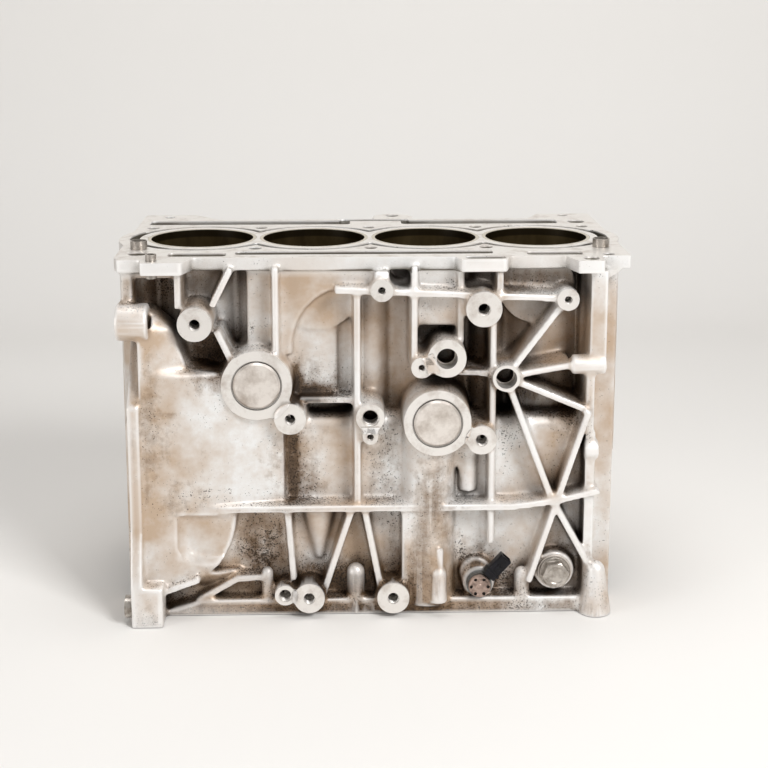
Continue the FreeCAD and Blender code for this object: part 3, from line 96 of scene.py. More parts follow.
# Cast aluminium from a metal mould: dull and slightly grainy, so it scatters light softly;
# brown with old oil and painted shade in the corners and pockets, and lightened on the outer edges by rubbing
# and a painted highlight.
castLook = {
    # the oil, dark, grime and pool colours also stand for painted shade in the pockets, corners and slots; the
    # edge colour is partly a painted highlight
    "pale": "#e9e9e8", "warm": "#c0aa94", "oil": "#6c5134", "grimeAndShade": "#291d12", "dark": "#1a1008",
    "slotOilAndShade": "#575041", "edge": "#f4f2f0", "metallic": 0.4,
    # patterns: the scale is half of one over the pattern's size
    "patches": {"Scale": 0.5 / (30 * mm), "Detail": 5.0, "Roughness": 0.6},
    "mottle": {"Scale": 0.5 / (4 * mm), "Detail": 5.0, "Roughness": 0.7},
    "runs": {"Scale": 0.5 / (5 * mm), "Detail": 6.0, "Roughness": 0.65}, "runStretch": (1.0, 1.0, 0.18),
    "grain": {"Scale": 0.5 / (0.6 * mm), "Detail": 3.0},
    "specks": {"Scale": 0.5 / (0.55 * mm), "Detail": 2.0},
    "cluster": {"Scale": 0.5 / (14 * mm), "Detail": 4.0, "Roughness": 0.6},
    "corner": 5 * mm, "pocket": 26 * mm, "rays": 8,
    # how much of a colour each pattern or place takes
    "paleShare": {"From Min": 0.38, "From Max": 0.62},
    "mottleShare": {"From Min": 0.35, "From Max": 0.65, "To Max": 0.2},
    "bandShare": {"From Min": 195 * mm, "From Max": 200 * mm, "To Max": 0.6},
    # the next three set how the pockets darken: oil and painted shade
    "oilAndShadeShare": {"From Min": 0.34, "From Max": 0.88, "To Max": 0.85},
    "oilAndShadeBreaks": {"From Min": 0.3, "From Max": 0.62, "To Min": 0.3},
    "deepShare": {"From Min": 0.58, "From Max": 0.84, "To Max": 0.92},
    "spillBreaks": {"mottle": 0.9, "runs": 0.7},
    "spillShare": {"From Min": 1.02, "From Max": 1.55, "To Max": 0.92},
    "thickShare": {"From Min": 1.4, "From Max": 1.85, "To Max": 0.85},
    # the next two set the dark corner lines: soiling and painted shade
    "dirtAndShadeShare": {"From Min": 0.22, "From Max": 0.62},
    "dirtAndShadeBreaks": {"From Min": 0.25, "From Max": 0.6, "To Min": 0.55},
    "ledgeSpecks": {"From Min": 0.5, "From Max": 0.9, "To Max": 0.1},
    "localSpecks": {"From Min": 0.56, "From Max": 0.72, "To Max": 0.12},
    "hollowSpecks": 0.08, "stainSpecks": 0.2,
    "speckShare": {"From Min": 0.73, "From Max": 0.77, "To Max": 0.85},
    # the next two lighten the outer edges: rubbing and a painted highlight
    "rubbedAndHighlightDepth": {"From Min": 74 * mm, "From Max": 86 * mm, "To Min": 0.12},
    "rubbedAndHighlightShare": {"From Min": 0.1, "From Max": 0.6, "To Max": 0.75},
    # the next two set where the slots under the deck are greyed: oil and painted shade
    "slotTop": {"From Min": cadTop - 1.2 * mm, "From Max": cadTop - 0.7 * mm, "To Min": 0.9, "To Max": 0.0},
    "slotFoot": 200 * mm, "slotShare": {"From Min": 0.15, "From Max": 0.35},
    "gloss": {"From Min": 0.3, "From Max": 0.7, "To Min": 0.38, "To Max": 0.56},
    "bump": {"Strength": 0.4, "Distance": 0.2 * mm},
}


def makeCastAluminium():
    look = castLook
    material, tree = newMaterial("castAluminium")
    add = partial(addNode, tree)
    place = add("ShaderNodeTexCoord").outputs["Object"]
    stretched = add("ShaderNodeMapping", {"Vector": place, "Scale": look["runStretch"]})
    way = add("ShaderNodeSeparateXYZ", {"Vector": add("ShaderNodeNewGeometry").outputs["Normal"]})
    parts = add("ShaderNodeSeparateXYZ", {"Vector": place})
    patches = add("ShaderNodeTexNoise", {"Vector": place, **look["patches"]})
    mottle = add("ShaderNodeTexNoise", {"Vector": place, **look["mottle"]})
    runs = add("ShaderNodeTexNoise", {"Vector": stretched, **look["runs"]})
    grain = add("ShaderNodeTexNoise", {"Vector": place, **look["grain"]})
    specks = add("ShaderNodeTexNoise", {"Vector": place, **look["specks"]})
    cluster = add("ShaderNodeTexNoise", {"Vector": place, **look["cluster"]})
    corner = add("ShaderNodeAmbientOcclusion", {"Distance": look["corner"]}, samples=look["rays"]).outputs["AO"]
    pocket = add("ShaderNodeAmbientOcclusion", {"Distance": look["pocket"]}, samples=look["rays"]).outputs["AO"]
    tight = add("ShaderNodeMath", {0: 1.0, 1: corner}, operation="SUBTRACT")
    hollow = add("ShaderNodeMath", {0: 1.0, 1: pocket}, operation="SUBTRACT")
    stand = add("ShaderNodeAttribute", attribute_name="convex").outputs["Fac"]
    stain = add("ShaderNodeAttribute", attribute_name="stain").outputs["Fac"]
    # clean metal, in large patches and a finer mottle; the band round the deck is wiped
    share = add("ShaderNodeMapRange", {"Value": patches, **look["paleShare"]})
    colour = add("ShaderNodeMix", {"Factor": share, "A": look["warm"], "B": look["pale"]}, data_type="RGBA")
    share = add("ShaderNodeMapRange", {"Value": mottle, **look["mottleShare"]})
    colour = add("ShaderNodeMix", {"Factor": share, "A": colour, "B": look["warm"]}, data_type="RGBA")
    share = add("ShaderNodeMapRange", {"Value": parts.outputs["Z"], **look["bandShare"]})
    colour = add("ShaderNodeMix", {"Factor": share, "A": colour, "B": look["pale"]}, data_type="RGBA")
    # oil and painted shade in the pockets, broken up by vertical runs, and painted shade nearly black in the
    # deepest
    oilAndShade = add("ShaderNodeMapRange", {"Value": hollow, **look["oilAndShadeShare"]})
    breaks = add("ShaderNodeMapRange", {"Value": runs, **look["oilAndShadeBreaks"]})
    share = add("ShaderNodeMath", {0: oilAndShade, 1: breaks}, operation="MULTIPLY")
    colour = add("ShaderNodeMix", {"Factor": share, "A": colour, "B": look["oil"]}, data_type="RGBA")
    share = add("ShaderNodeMapRange", {"Value": hollow, **look["deepShare"]})
    colour = add("ShaderNodeMix", {"Factor": share, "A": colour, "B": look["dark"]}, data_type="RGBA")
    # old spills lie in patches that thin out in mottled edges
    breaks = look["spillBreaks"]
    spread = add("ShaderNodeMath", {0: mottle, 1: breaks["mottle"], 2: stain}, operation="MULTIPLY_ADD")
    spread = add("ShaderNodeMath", {0: runs, 1: breaks["runs"], 2: spread}, operation="MULTIPLY_ADD")
    share = add("ShaderNodeMapRange", {"Value": spread, **look["spillShare"]})
    colour = add("ShaderNodeMix", {"Factor": share, "A": colour, "B": look["oil"]}, data_type="RGBA")
    share = add("ShaderNodeMapRange", {"Value": spread, **look["thickShare"]})
    colour = add("ShaderNodeMix", {"Factor": share, "A": colour, "B": look["grimeAndShade"]}, data_type="RGBA")
    # thin dark lines in the corners: soiling and painted shade
    dirtAndShade = add("ShaderNodeMapRange", {"Value": tight, **look["dirtAndShadeShare"]})
    breaks = add("ShaderNodeMapRange", {"Value": mottle, **look["dirtAndShadeBreaks"]})
    share = add("ShaderNodeMath", {0: dirtAndShade, 1: breaks}, operation="MULTIPLY")
    colour = add("ShaderNodeMix", {"Factor": share, "A": colour, "B": look["grimeAndShade"]}, data_type="RGBA")
    # black specks, thickest on ledges, in the corners and round the spills
    ledge = add("ShaderNodeMapRange", {"Value": way.outputs["Z"], **look["ledgeSpecks"]})
    local = add("ShaderNodeMapRange", {"Value": cluster, **look["localSpecks"]})
    chance = add("ShaderNodeMath", {0: hollow, 1: look["hollowSpecks"], 2: specks}, operation="MULTIPLY_ADD")
    chance = add("ShaderNodeMath", {0: stain, 1: look["stainSpecks"], 2: chance}, operation="MULTIPLY_ADD")
    chance = add("ShaderNodeMath", {0: chance, 1: ledge}, operation="ADD")
    chance = add("ShaderNodeMath", {0: chance, 1: local}, operation="ADD")
    share = add("ShaderNodeMapRange", {"Value": chance, **look["speckShare"]})
    colour = add("ShaderNodeMix", {"Factor": share, "A": colour, "B": look["grimeAndShade"]}, data_type="RGBA")
    # only the edges that stand well out from the cylinders are lightened, by rubbing and a painted highlight
    depth = add("ShaderNodeMath", {0: parts.outputs["Y"]}, operation="ABSOLUTE")
    outer = add("ShaderNodeMapRange", {"Value": depth, **look["rubbedAndHighlightDepth"]})
    edges = add("ShaderNodeMapRange", {"Value": stand, **look["rubbedAndHighlightShare"]})
    share = add("ShaderNodeMath", {0: edges, 1: outer}, operation="MULTIPLY")
    colour = add("ShaderNodeMix", {"Factor": share, "A": colour, "B": look["edge"]}, data_type="RGBA")
    # slots and jacket walls just under the deck are greyed: oil and painted shade
    under = add("ShaderNodeMapRange", {"Value": parts.outputs["Z"], **look["slotTop"]})
    above = add("ShaderNodeMath", {0: parts.outputs["Z"], 1: look["slotFoot"]}, operation="GREATER_THAN")
    slots = add("ShaderNodeMath", {0: under, 1: above}, operation="MULTIPLY")
    inside = add("ShaderNodeMapRange", {"Value": hollow, **look["slotShare"]})
    share = add("ShaderNodeMath", {0: slots, 1: inside}, operation="MULTIPLY")
    colour = add("ShaderNodeMix", {"Factor": share, "A": colour, "B": look["slotOilAndShade"]}, data_type="RGBA")
    gloss = add("ShaderNodeMapRange", {"Value": mottle, **look["gloss"]})
    bump = add("ShaderNodeBump", {"Height": grain, **look["bump"]})
    shader = add("ShaderNodeBsdfPrincipled", {"Base Color": colour, "Metallic": look["metallic"],
                 "Roughness": gloss, "Normal": bump})
    add("ShaderNodeOutputMaterial", {"Surface": shader})
    return material


# Face-milled aluminium: bright and nearly flat, so it mirrors the light as a pale sheet;
# faint cutter marks and thin brown stains break it up, and soiling and painted shade darken the corners.
machinedLook = {
    "colour": "#ece8e3", "stain": "#a9998a", "dirtAndShade": "#3a2c20", "metallic": 0.7, "corner": 2 * mm, "rays": 6,
    "patches": {"Scale": 0.5 / (7 * mm), "Detail": 6.0, "Roughness": 0.65},
    "marks": {"Scale": 0.5 / (0.5 * mm), "Detail": 2.0}, "markStretch": (1.0, 1.0, 0.1),
    "stainShare": {"From Min": 0.5, "From Max": 0.74, "To Max": 0.6},
    "dirtAndShadeShare": {"From Min": 0.2, "From Max": 0.7, "To Min": 0.8, "To Max": 0.0},
    "gloss": {"From Min": 0.3, "From Max": 0.7, "To Min": 0.29, "To Max": 0.46},
    "bump": {"Strength": 0.15, "Distance": 0.03 * mm},
}


def makeMachinedAluminium():
    look = machinedLook
    material, tree = newMaterial("machinedAluminium")
    add = partial(addNode, tree)
    place = add("ShaderNodeTexCoord").outputs["Object"]
    stretched = add("ShaderNodeMapping", {"Vector": place, "Scale": look["markStretch"]})
    patches = add("ShaderNodeTexNoise", {"Vector": place, **look["patches"]})
    marks = add("ShaderNodeTexNoise", {"Vector": stretched, **look["marks"]})
    corner = add("ShaderNodeAmbientOcclusion", {"Distance": look["corner"]}, samples=look["rays"]).outputs["AO"]
    share = add("ShaderNodeMapRange", {"Value": patches, **look["stainShare"]})
    colour = add("ShaderNodeMix", {"Factor": share, "A": look["colour"], "B": look["stain"]}, data_type="RGBA")
    # darker in the corners: soiling and painted shade
    share = add("ShaderNodeMapRange", {"Value": corner, **look["dirtAndShadeShare"]})
    colour = add("ShaderNodeMix", {"Factor": share, "A": colour, "B": look["dirtAndShade"]}, data_type="RGBA")
    gloss = add("ShaderNodeMapRange", {"Value": patches, **look["gloss"]})
    bump = add("ShaderNodeBump", {"Height": marks, **look["bump"]})
    shader = add("ShaderNodeBsdfPrincipled", {"Base Color": colour, "Metallic": look["metallic"],
                 "Roughness": gloss, "Normal": bump})
    add("ShaderNodeOutputMaterial", {"Surface": shader})
    return material


# Honed grey iron: fine crossing scratches hold an olive-brown oil film, so it looks dark and silky;
# soot marks the ring above the top piston ring. The scratches are drawn coarser than real ones, to show.
linerLook = {
    "iron": "#57492f", "oil": "#30240f", "soot": "#181106", "rim": "#c9c0ae", "metallic": 0.6, "roughness": 0.3,
    "pitch": 82 * mm, "bore": 37.25 * mm, "hatch": 1.1 * mm, "slope": 0.6,
    "patches": {"Scale": 0.5 / (12 * mm), "Detail": 5.0, "Roughness": 0.6}, "patchStretch": (1.0, 1.0, 0.4),
    "oilShare": {"From Min": 0.35, "From Max": 0.65},
    "hatchShare": {"From Min": 0.4, "From Max": 1.0, "To Max": 0.25},
    "sootShare": {"From Min": cadTop - 6 * mm, "From Max": cadTop - 5 * mm, "To Max": 0.8},
    "rimShare": {"From Min": cadTop - 0.5 * mm, "From Max": cadTop - 0.1 * mm},
    "bump": {"Strength": 0.2, "Distance": 0.02 * mm},
}


def makeHonedIron():
    look = linerLook
    material, tree = newMaterial("honedIron")
    add = partial(addNode, tree)
    place = add("ShaderNodeTexCoord").outputs["Object"]
    stretched = add("ShaderNodeMapping", {"Vector": place, "Scale": look["patchStretch"]})
    parts = add("ShaderNodeSeparateXYZ", {"Vector": place})
    # the angle round whichever bore the point is in, times the radius, gives the way round the wall
    shifted = add("ShaderNodeMath", {0: parts.outputs["X"], 1: 2 * look["pitch"]}, operation="ADD")
    inBore = add("ShaderNodeMath", {0: shifted, 1: look["pitch"]}, operation="MODULO")
    across = add("ShaderNodeMath", {0: inBore, 1: look["pitch"] / 2}, operation="SUBTRACT")
    turn = add("ShaderNodeMath", {0: parts.outputs["Y"], 1: across}, operation="ARCTAN2")
    around = add("ShaderNodeMath", {0: turn, 1: look["bore"]}, operation="MULTIPLY")
    lines = []
    for slope in (look["slope"], -look["slope"]):
        slant = add("ShaderNodeMath", {0: parts.outputs["Z"], 1: slope, 2: around}, operation="MULTIPLY_ADD")
        phase = add("ShaderNodeMath", {0: slant, 1: 2 * math.pi / look["hatch"]}, operation="MULTIPLY")
        lines.append(add("ShaderNodeMath", {0: phase}, operation="SINE"))
    hatch = add("ShaderNodeMath", {0: lines[0], 1: lines[1]}, operation="MAXIMUM")
    patches = add("ShaderNodeTexNoise", {"Vector": stretched, **look["patches"]})
    share = add("ShaderNodeMapRange", {"Value": patches, **look["oilShare"]})
    colour = add("ShaderNodeMix", {"Factor": share, "A": look["iron"], "B": look["oil"]}, data_type="RGBA")
    share = add("ShaderNodeMapRange", {"Value": hatch, **look["hatchShare"]})
    colour = add("ShaderNodeMix", {"Factor": share, "A": colour, "B": look["iron"]}, data_type="RGBA")
    share = add("ShaderNodeMapRange", {"Value": parts.outputs["Z"], **look["sootShare"]})
    colour = add("ShaderNodeMix", {"Factor": share, "A": colour, "B": look["soot"]}, data_type="RGBA")
    share = add("ShaderNodeMapRange", {"Value": parts.outputs["Z"], **look["rimShare"]})
    colour = add("ShaderNodeMix", {"Factor": share, "A": colour, "B": look["rim"]}, data_type="RGBA")
    bump = add("ShaderNodeBump", {"Height": hatch, **look["bump"]})
    shader = add("ShaderNodeBsdfPrincipled", {"Base Color": colour, "Metallic": look["metallic"],
                 "Roughness": look["roughness"], "Normal": bump})
    add("ShaderNodeOutputMaterial", {"Surface": shader})
    return material


# The small pieces. Each row: fresh colour, worn colour, metallic, roughness, specular level, blotch size.
smallLooks = {
    # as-cast grey iron, open-grained and dark with oil
    "greyIron": ("#77706a", "#4a423b", 0.5, 0.55, 0.5, 6 * mm),
    # pressed steel under thin zinc, smooth and pale
    "zincPlatedSteel": ("#e6dfd8", "#b3a79c", 0.7, 0.34, 0.5, 8 * mm),
    # ground or turned steel, bright between oil smears
    "oiledSteel": ("#bfb8b0", "#655a4e", 0.75, 0.33, 0.5, 4 * mm),
    # bare turned steel under a grey oil film
    "greySteel": ("#8b8f8e", "#4c4640", 0.6, 0.42, 0.5, 5 * mm),
    # phosphated bolt steel, dark and satin
    "phosphatedSteel": ("#5d5854", "#2d2925", 0.7, 0.42, 0.5, 5 * mm),
    # glass-filled nylon, black with a faint moulded bloom
    "blackNylon": ("#0e0d10", "#201f25", 0.0, 0.32, 0.22, 5 * mm),
    # crimped copper-flashed steel, brownish and dull
    "crimpedSteel": ("#b09a8e", "#5a4a40", 0.5, 0.45, 0.5, 3 * mm),
}
# what the small pieces share: oil blotches, grain, soiling and painted shade in the corners, and gloss on either
# side of the row's
smallWearAndShade = {
    "patches": {"Detail": 6.0, "Roughness": 0.65}, "wornShare": {"From Min": 0.42, "From Max": 0.7},
    "grain": 8, "grainDetail": 3.0, "bump": {"Strength": 0.12, "Distance": 0.05 * mm},
    "dirtAndShade": "#2a221b", "corner": 2.5 * mm, "rays": 6,
    "dirtAndShadeShare": {"From Min": 0.15, "From Max": 0.65, "To Min": 0.85, "To Max": 0.0},
    "gloss": {"From Min": 0.3, "From Max": 0.7}, "smoother": 0.06, "rougher": 0.12,
}


def makeSmallFinish(name):
    look = smallWearAndShade
    fresh, worn, metallic, roughness, specular, size = smallLooks[name]
    material, tree = newMaterial(name)
    add = partial(addNode, tree)
    place = add("ShaderNodeTexCoord").outputs["Object"]
    scale = 0.5 / size
    patches = add("ShaderNodeTexNoise", {"Vector": place, "Scale": scale, **look["patches"]})
    fine = add("ShaderNodeTexNoise", {"Vector": place, "Scale": look["grain"] * scale,
               "Detail": look["grainDetail"]})
    corner = add("ShaderNodeAmbientOcclusion", {"Distance": look["corner"]}, samples=look["rays"]).outputs["AO"]
    share = add("ShaderNodeMapRange", {"Value": patches, **look["wornShare"]})
    colour = add("ShaderNodeMix", {"Factor": share, "A": fresh, "B": worn}, data_type="RGBA")
    # darker in the corners: soiling and painted shade
    share = add("ShaderNodeMapRange", {"Value": corner, **look["dirtAndShadeShare"]})
    colour = add("ShaderNodeMix", {"Factor": share, "A": colour, "B": look["dirtAndShade"]}, data_type="RGBA")
    gloss = add("ShaderNodeMapRange", {"Value": patches, **look["gloss"],
                "To Min": roughness - look["smoother"], "To Max": roughness + look["rougher"]})
    bump = add("ShaderNodeBump", {"Height": fine, **look["bump"]})
    shader = add("ShaderNodeBsdfPrincipled", {"Base Color": colour, "Metallic": metallic, "Roughness": gloss,
                 "Specular IOR Level": specular, "Normal": bump})
    add("ShaderNodeOutputMaterial", {"Surface": shader})
    return material


castAluminium = makeCastAluminium()
machinedAluminium = makeMachinedAluminium()
small = {name: makeSmallFinish(name) for name in smallLooks}
small["honedIron"] = makeHonedIron()
print("materials made")

# what the carried-over pieces are made of, by how their names start
nodeFinish = {
    "cylinder_liner": "honedIron", "main_bearing_cap": "greyIron", "main_cap_bolt": "phosphatedSteel",
    "core_plug": "zincPlatedSteel", "deck_dowel": "oiledSteel", "deck_locating": "oiledSteel",
    "gearbox_dowel": "oiledSteel", "gallery_plug": "zincPlatedSteel", "crank_lock_washer": "zincPlatedSteel",
    "oil_valve_body": "greySteel",
}
for name, node in nodes.items():
    for start, finish in nodeFinish.items():
        if name.startswith(start):
            node.data.materials.clear()
            node.data.materials.append(small[finish])


def newObject(name, work, material):
    # a mesh object from a filled bmesh
    mesh = bpy.data.meshes.new(name)
    work.to_mesh(mesh)
    work.free()
    mesh.materials.append(material)
    obj = bpy.data.objects.new(name, mesh)
    scene.collection.objects.link(obj)
    return obj


def applied(obj):
    # bakes the modifiers into the mesh
    graph = bpy.context.evaluated_depsgraph_get()
    mesh = bpy.data.meshes.new_from_object(obj.evaluated_get(graph))
    obj.modifiers.clear()
    old = obj.data
    obj.data = mesh
    bpy.data.meshes.remove(old)


def finishPiece(obj, slotName, *replaced):
    # every finished piece rides on the one body
    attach(obj, "root")
    if replaced:
        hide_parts(*replaced)


def addBox(work, place, size):
    # a box about the origin, put in its place by a matrix
    made = bmesh.ops.create_cube(work, size=1.0, matrix=place @ Matrix.Diagonal(size.to_4d()))
    return made["verts"]


# The next five each give a function that adds one closed body to a bmesh. A box's corners are in metres; the
# others' sizes are in mm, with front and back as distances in front of the crankshaft.
def boxBody(low, high):
    return lambda work: addBox(work, Matrix.Translation((low + high) / 2), high - low)


def webBody(start, end, width, front, back):
    # a bar from one x, z to another
    def fill(work):
        a, b = Vector((start[0], 0, start[1])), Vector((end[0], 0, end[1]))
        turn = Matrix.Rotation(-math.atan2(b.z - a.z, b.x - a.x), 4, "Y")
        middle = (a + b) / 2 - Vector((0, (front + back) / 2, 0))
        size = Vector(((b - a).length, front - back, width)) * mm
        addBox(work, Matrix.Translation(middle * mm) @ turn, size)
    return fill


def bulbBody(x, low, high, top, foot, front, sides=32):
    # an upright rod with a round top, widening towards its foot
    def fill(work):
        place = Matrix.Translation(Vector((x, foot - front, high - top)) * mm)
        bmesh.ops.create_uvsphere(work, u_segments=sides, v_segments=sides // 2, radius=top * mm, matrix=place)
        place = Matrix.Translation(Vector((x, foot - front, (low + high - top) / 2)) * mm)
        bmesh.ops.create_cone(work, cap_ends=True, segments=sides, radius1=foot * mm, radius2=top * mm,
                              depth=(high - top - low) * mm, matrix=place)
    return fill


def rodBody(x, z, radius, front, back, sides=48):
    # a rod along Y
    def fill(work):
        place = Matrix.Translation(Vector((x, -(front + back) / 2, z)) * mm)
        place = place @ Matrix.Rotation(math.pi / 2, 4, "X")
        bmesh.ops.create_cone(work, cap_ends=True, segments=sides, radius1=radius * mm, radius2=radius * mm,
                              depth=(front - back) * mm, matrix=place)
    return fill


def prismBody(outline, front, back):
    # a flat outline of x, z points drawn out along Y
    def fill(work):
        rows = [[work.verts.new((x * mm, -depth * mm, z * mm)) for x, z in outline] for depth in (front, back)]
        for step in range(len(outline)):
            work.faces.new((rows[0][step - 1], rows[0][step], rows[1][step], rows[1][step - 1]))
        for row in rows:
            work.faces.new(row)
    return fill


def cutter(name, bodies, material=machinedAluminium):
    # one mesh of separate closed bodies
    work = bmesh.new()
    for body in bodies:
        body(work)
    bmesh.ops.recalc_face_normals(work, faces=work.faces)
    return newObject(name, work, material)


def cutWith(obj, tool):
    # the cut faces take the tool's material
    cut = obj.modifiers.new("cut", "BOOLEAN")
    cut.operation = "DIFFERENCE"
    cut.object = tool
    cut.solver = "MANIFOLD"
    cut.material_mode = "TRANSFER"
    before = len(obj.data.polygons)
    applied(obj)
    print("cut", tool.name, before, len(obj.data.polygons))
    bpy.data.objects.remove(tool)


# The casting. Stock is left on the machined faces until they are cut; fill and smooth are steps.
casting = {
    "weld": 0.001 * mm, "voxel": 1.25 * mm, "stock": 1.6 * mm, "flat": 0.06 * mm, "faceMargin": 0.4,
    "fill": 16, "fillStrength": 0.6, "freshNormals": 4, "smooth": 3, "smoothStrength": 0.5, "convexReach": 8,
    "triangles": 170000, "sharpAngle": 35, "reach": 0.4,
}
# machined bosses of the ribbed side in mm: x, z, radius, hole radius, distance in front of the crankshaft
bossFaces = {
    "bracket": (-121.5, 166, 12, 4, 93), "stay": (6.5, 188.5, 7.8, 2.6, 91),
    "mount": (76.5, 175.5, 12.5, 4.3, 93), "corner": (134.5, 181.5, 7.8, 2.5, 91),
    "shield": (-57, 98.5, 11, 3.7, 93), "feed": (51.5, 140.5, 13.5, 7, 91), "feedScrew": (34, 134, 7.5, 2.2, 91),
    "sender": (-1.5, 98.5, 10, 6, 91), "senderScrew": (-1.5, 84.5, 5.5, 2.3, 91),
    "gusset": (76, 82, 10.5, 4.2, 92), "hub": (93, 125.5, 9.5, 7, 89), "footLeft": (-62, -31, 7.5, 4.5, 93),
    "footCentre": (-45, -33, 11, 4, 94), "footRight": (14.5, -33.5, 11.5, 4, 94),
    "leftPlug": (-80, 122, 24.5, 17.7, 90), "rightPlug": (45, 95.5, 23.5, 17.7, 95),
}
# how far the cuts run past the faces they make, and how they go into the holes and plug seats, in mm
milling = {
    "margin": 1.5, "webMargin": 1, "clear": 6, "holeClear": 8, "holeDepth": 14, "tapped": 0.3, "holeSides": 32,
    "groove": 17.7, "grooveDepth": 1.5, "bore": 16.6, "boreDepth": 9, "plugClear": 1, "plugSides": 72,
}
# small cast forms between the bosses in mm: a web runs from one x, z to another, with its width,
# front and back; a bulb has its x, low and high z, the radii of its top and foot, and its front
castWebs = {
    "feedWeb": ((36.6, 135), (44.1, 137.8), 12, 92.6, 60),
    "senderWeb": ((-1.5, 87.4), (-1.5, 92), 11, 92.6, 60),
    "shieldWeb": ((-57, 98.5), (-66, 106), 12, 89, 60), "endStay": ((-168, 160), (-168, 204), 8, 84, 60),
    "topStay": ((-166, 199), (-134, 199), 6, 80, 60), "archPanel": ((-18, 106), (-18, 186), 15, 64.5, 48),
    "footWeb": ((-62, -31), (-45, -33), 7, 90, 70), "plugWeb": ((76, 82), (64, 88), 9, 90, 60),
}
milledWebs = {"feedWeb": 91, "senderWeb": 91}
castBulbs = {
    "columnBulb": (46.6, -38, -11, 5.6, 6.2, 96), "gussetProp": (68, 40, 76, 6.2, 6.2, 79),
    "cornerLug": (159, -48, -10, 7, 12, 98),
}
# the flared wall beside the gearbox flange ends in an arc, and a scoop is let into it in two soft steps:
# x, z points, front and back
flareCuts = {
    "flareEnd": ([(-88, 28.6), (-95.8, 28.6), (-96.6, 18), (-99, 8), (-103, -1), (-109, -10), (-116, -16.5),
                  (-88, -16.5)], 112, 72.3),
    "scoopRim": ([(-137, 28.6), (-137, 4), (-132.5, -4.5), (-124, -8), (-96, -8), (-90, 28.6)], 112, 88),
    "flareScoop": ([(-133, 26), (-133, 7), (-129.5, 0.5), (-122, -3), (-96, -3), (-90, 26)], 112, 85.8),
}


def looseCopy(name, source):
    # a copy of a node's mesh with its corners joined
    copy = bpy.data.objects.new(name, source.data.copy())
    scene.collection.objects.link(copy)
    changeMesh(copy, lambda work: bmesh.ops.remove_doubles(work, verts=work.verts, dist=casting["weld"]))
    return copy


def changeMesh(obj, change):
    work = bmesh.new()
    work.from_mesh(obj.data)
    change(work)
    work.to_mesh(obj.data)
    work.free()


def readCorners(mesh, part="vertices", field="co"):
    flat = np.empty(len(mesh.vertices) * 3, np.float32)
    getattr(mesh, part).foreach_get(field, flat)
    return flat.reshape(-1, 3).astype(np.float64)


def writeCorners(mesh, corners):
    mesh.vertices.foreach_set("co", corners.astype(np.float32).ravel())
    mesh.update()


def neighbourMean(mesh):
    # gives a function that takes the mean of each corner's neighbours along the mesh edges
    ends = np.empty(len(mesh.edges) * 2, np.int32)
    mesh.edges.foreach_get("vertices", ends)
    ends = ends.reshape(-1, 2)
    both = np.concatenate([ends, ends[:, ::-1]])
    both = both[np.argsort(both[:, 0], kind="stable")]
    count = np.bincount(both[:, 0], minlength=len(mesh.vertices))
    starts = np.concatenate([[0], np.cumsum(count)[:-1]])
    share = np.maximum(count, 1)[:, None]
    return lambda values: np.add.reduceat(values[both[:, 1]], starts, axis=0) / share


def makeRough():
    # the solid's own mesh with the small forms added and stock on the faces that are cut later
    skin = looseCopy("blockCasting", nodes["cylinder_block"])
    for name, row in flareCuts.items():
        cutWith(skin, cutter(name, [prismBody(*row)]))
    for body in [webBody(*row) for row in castWebs.values()] + [bulbBody(*row) for row in castBulbs.values()]:
        changeMesh(skin, body)
    corners = readCorners(skin.data)
    sump, deck = corners[:, 2].min(), corners[:, 2].max()
    stock, flat = casting["stock"], casting["flat"]
    for x, z, radius, hole, front in bossFaces.values():
        away = np.hypot(corners[:, 0] - x * mm, corners[:, 2] - z * mm)
        inFace = (away < (radius + casting["faceMargin"]) * mm) & (np.abs(corners[:, 1] + front * mm) < flat)
        corners[inFace, 1] -= stock
    corners[corners[:, 2] > deck - flat, 2] += stock
    corners[corners[:, 2] < sump + flat, 2] -= stock
    writeCorners(skin.data, corners)
    remesh = skin.modifiers.new("voxels", "REMESH")
    remesh.mode = "VOXEL"
    remesh.voxel_size = casting["voxel"]
    applied(skin)
    print("casting voxels", len(skin.data.vertices))
    return skin, sump, deck


def softenSkin(skin):
    # gives back how far each corner stands out from its surroundings in mm, and a tree to look corners up
    mesh = skin.data
    around = neighbourMean(mesh)
    corners = readCorners(mesh)
    # first only the hollow corners fill, as they do in a mould, then everything softens a little
    for step in range(casting["fill"]):
        if step % casting["freshNormals"] == 0:
            writeCorners(mesh, corners)
            normals = readCorners(mesh, "vertex_normals", "vector")
        rise = np.einsum("ij,ij->i", around(corners) - corners, normals)
        corners += normals * (np.maximum(rise, 0) * casting["fillStrength"])[:, None]
    for step in range(casting["smooth"]):
        corners += (around(corners) - corners) * casting["smoothStrength"]
    writeCorners(mesh, corners)
    normals = readCorners(mesh, "vertex_normals", "vector")
    broad = corners.copy()
    for step in range(casting["convexReach"]):
        broad = around(broad)
    stand = np.einsum("ij,ij->i", corners - broad, normals) / mm
    lookup = KDTree(len(corners))
    for index, corner in enumerate(corners):
        lookup.insert(corner, index)
    lookup.balance()
    print("casting softened")
    thin = skin.modifiers.new("thin", "DECIMATE")
    thin.ratio = casting["triangles"] / (2 * len(mesh.polygons))
    applied(skin)
    print("casting thinned", len(skin.data.polygons))
    return stand, lookup


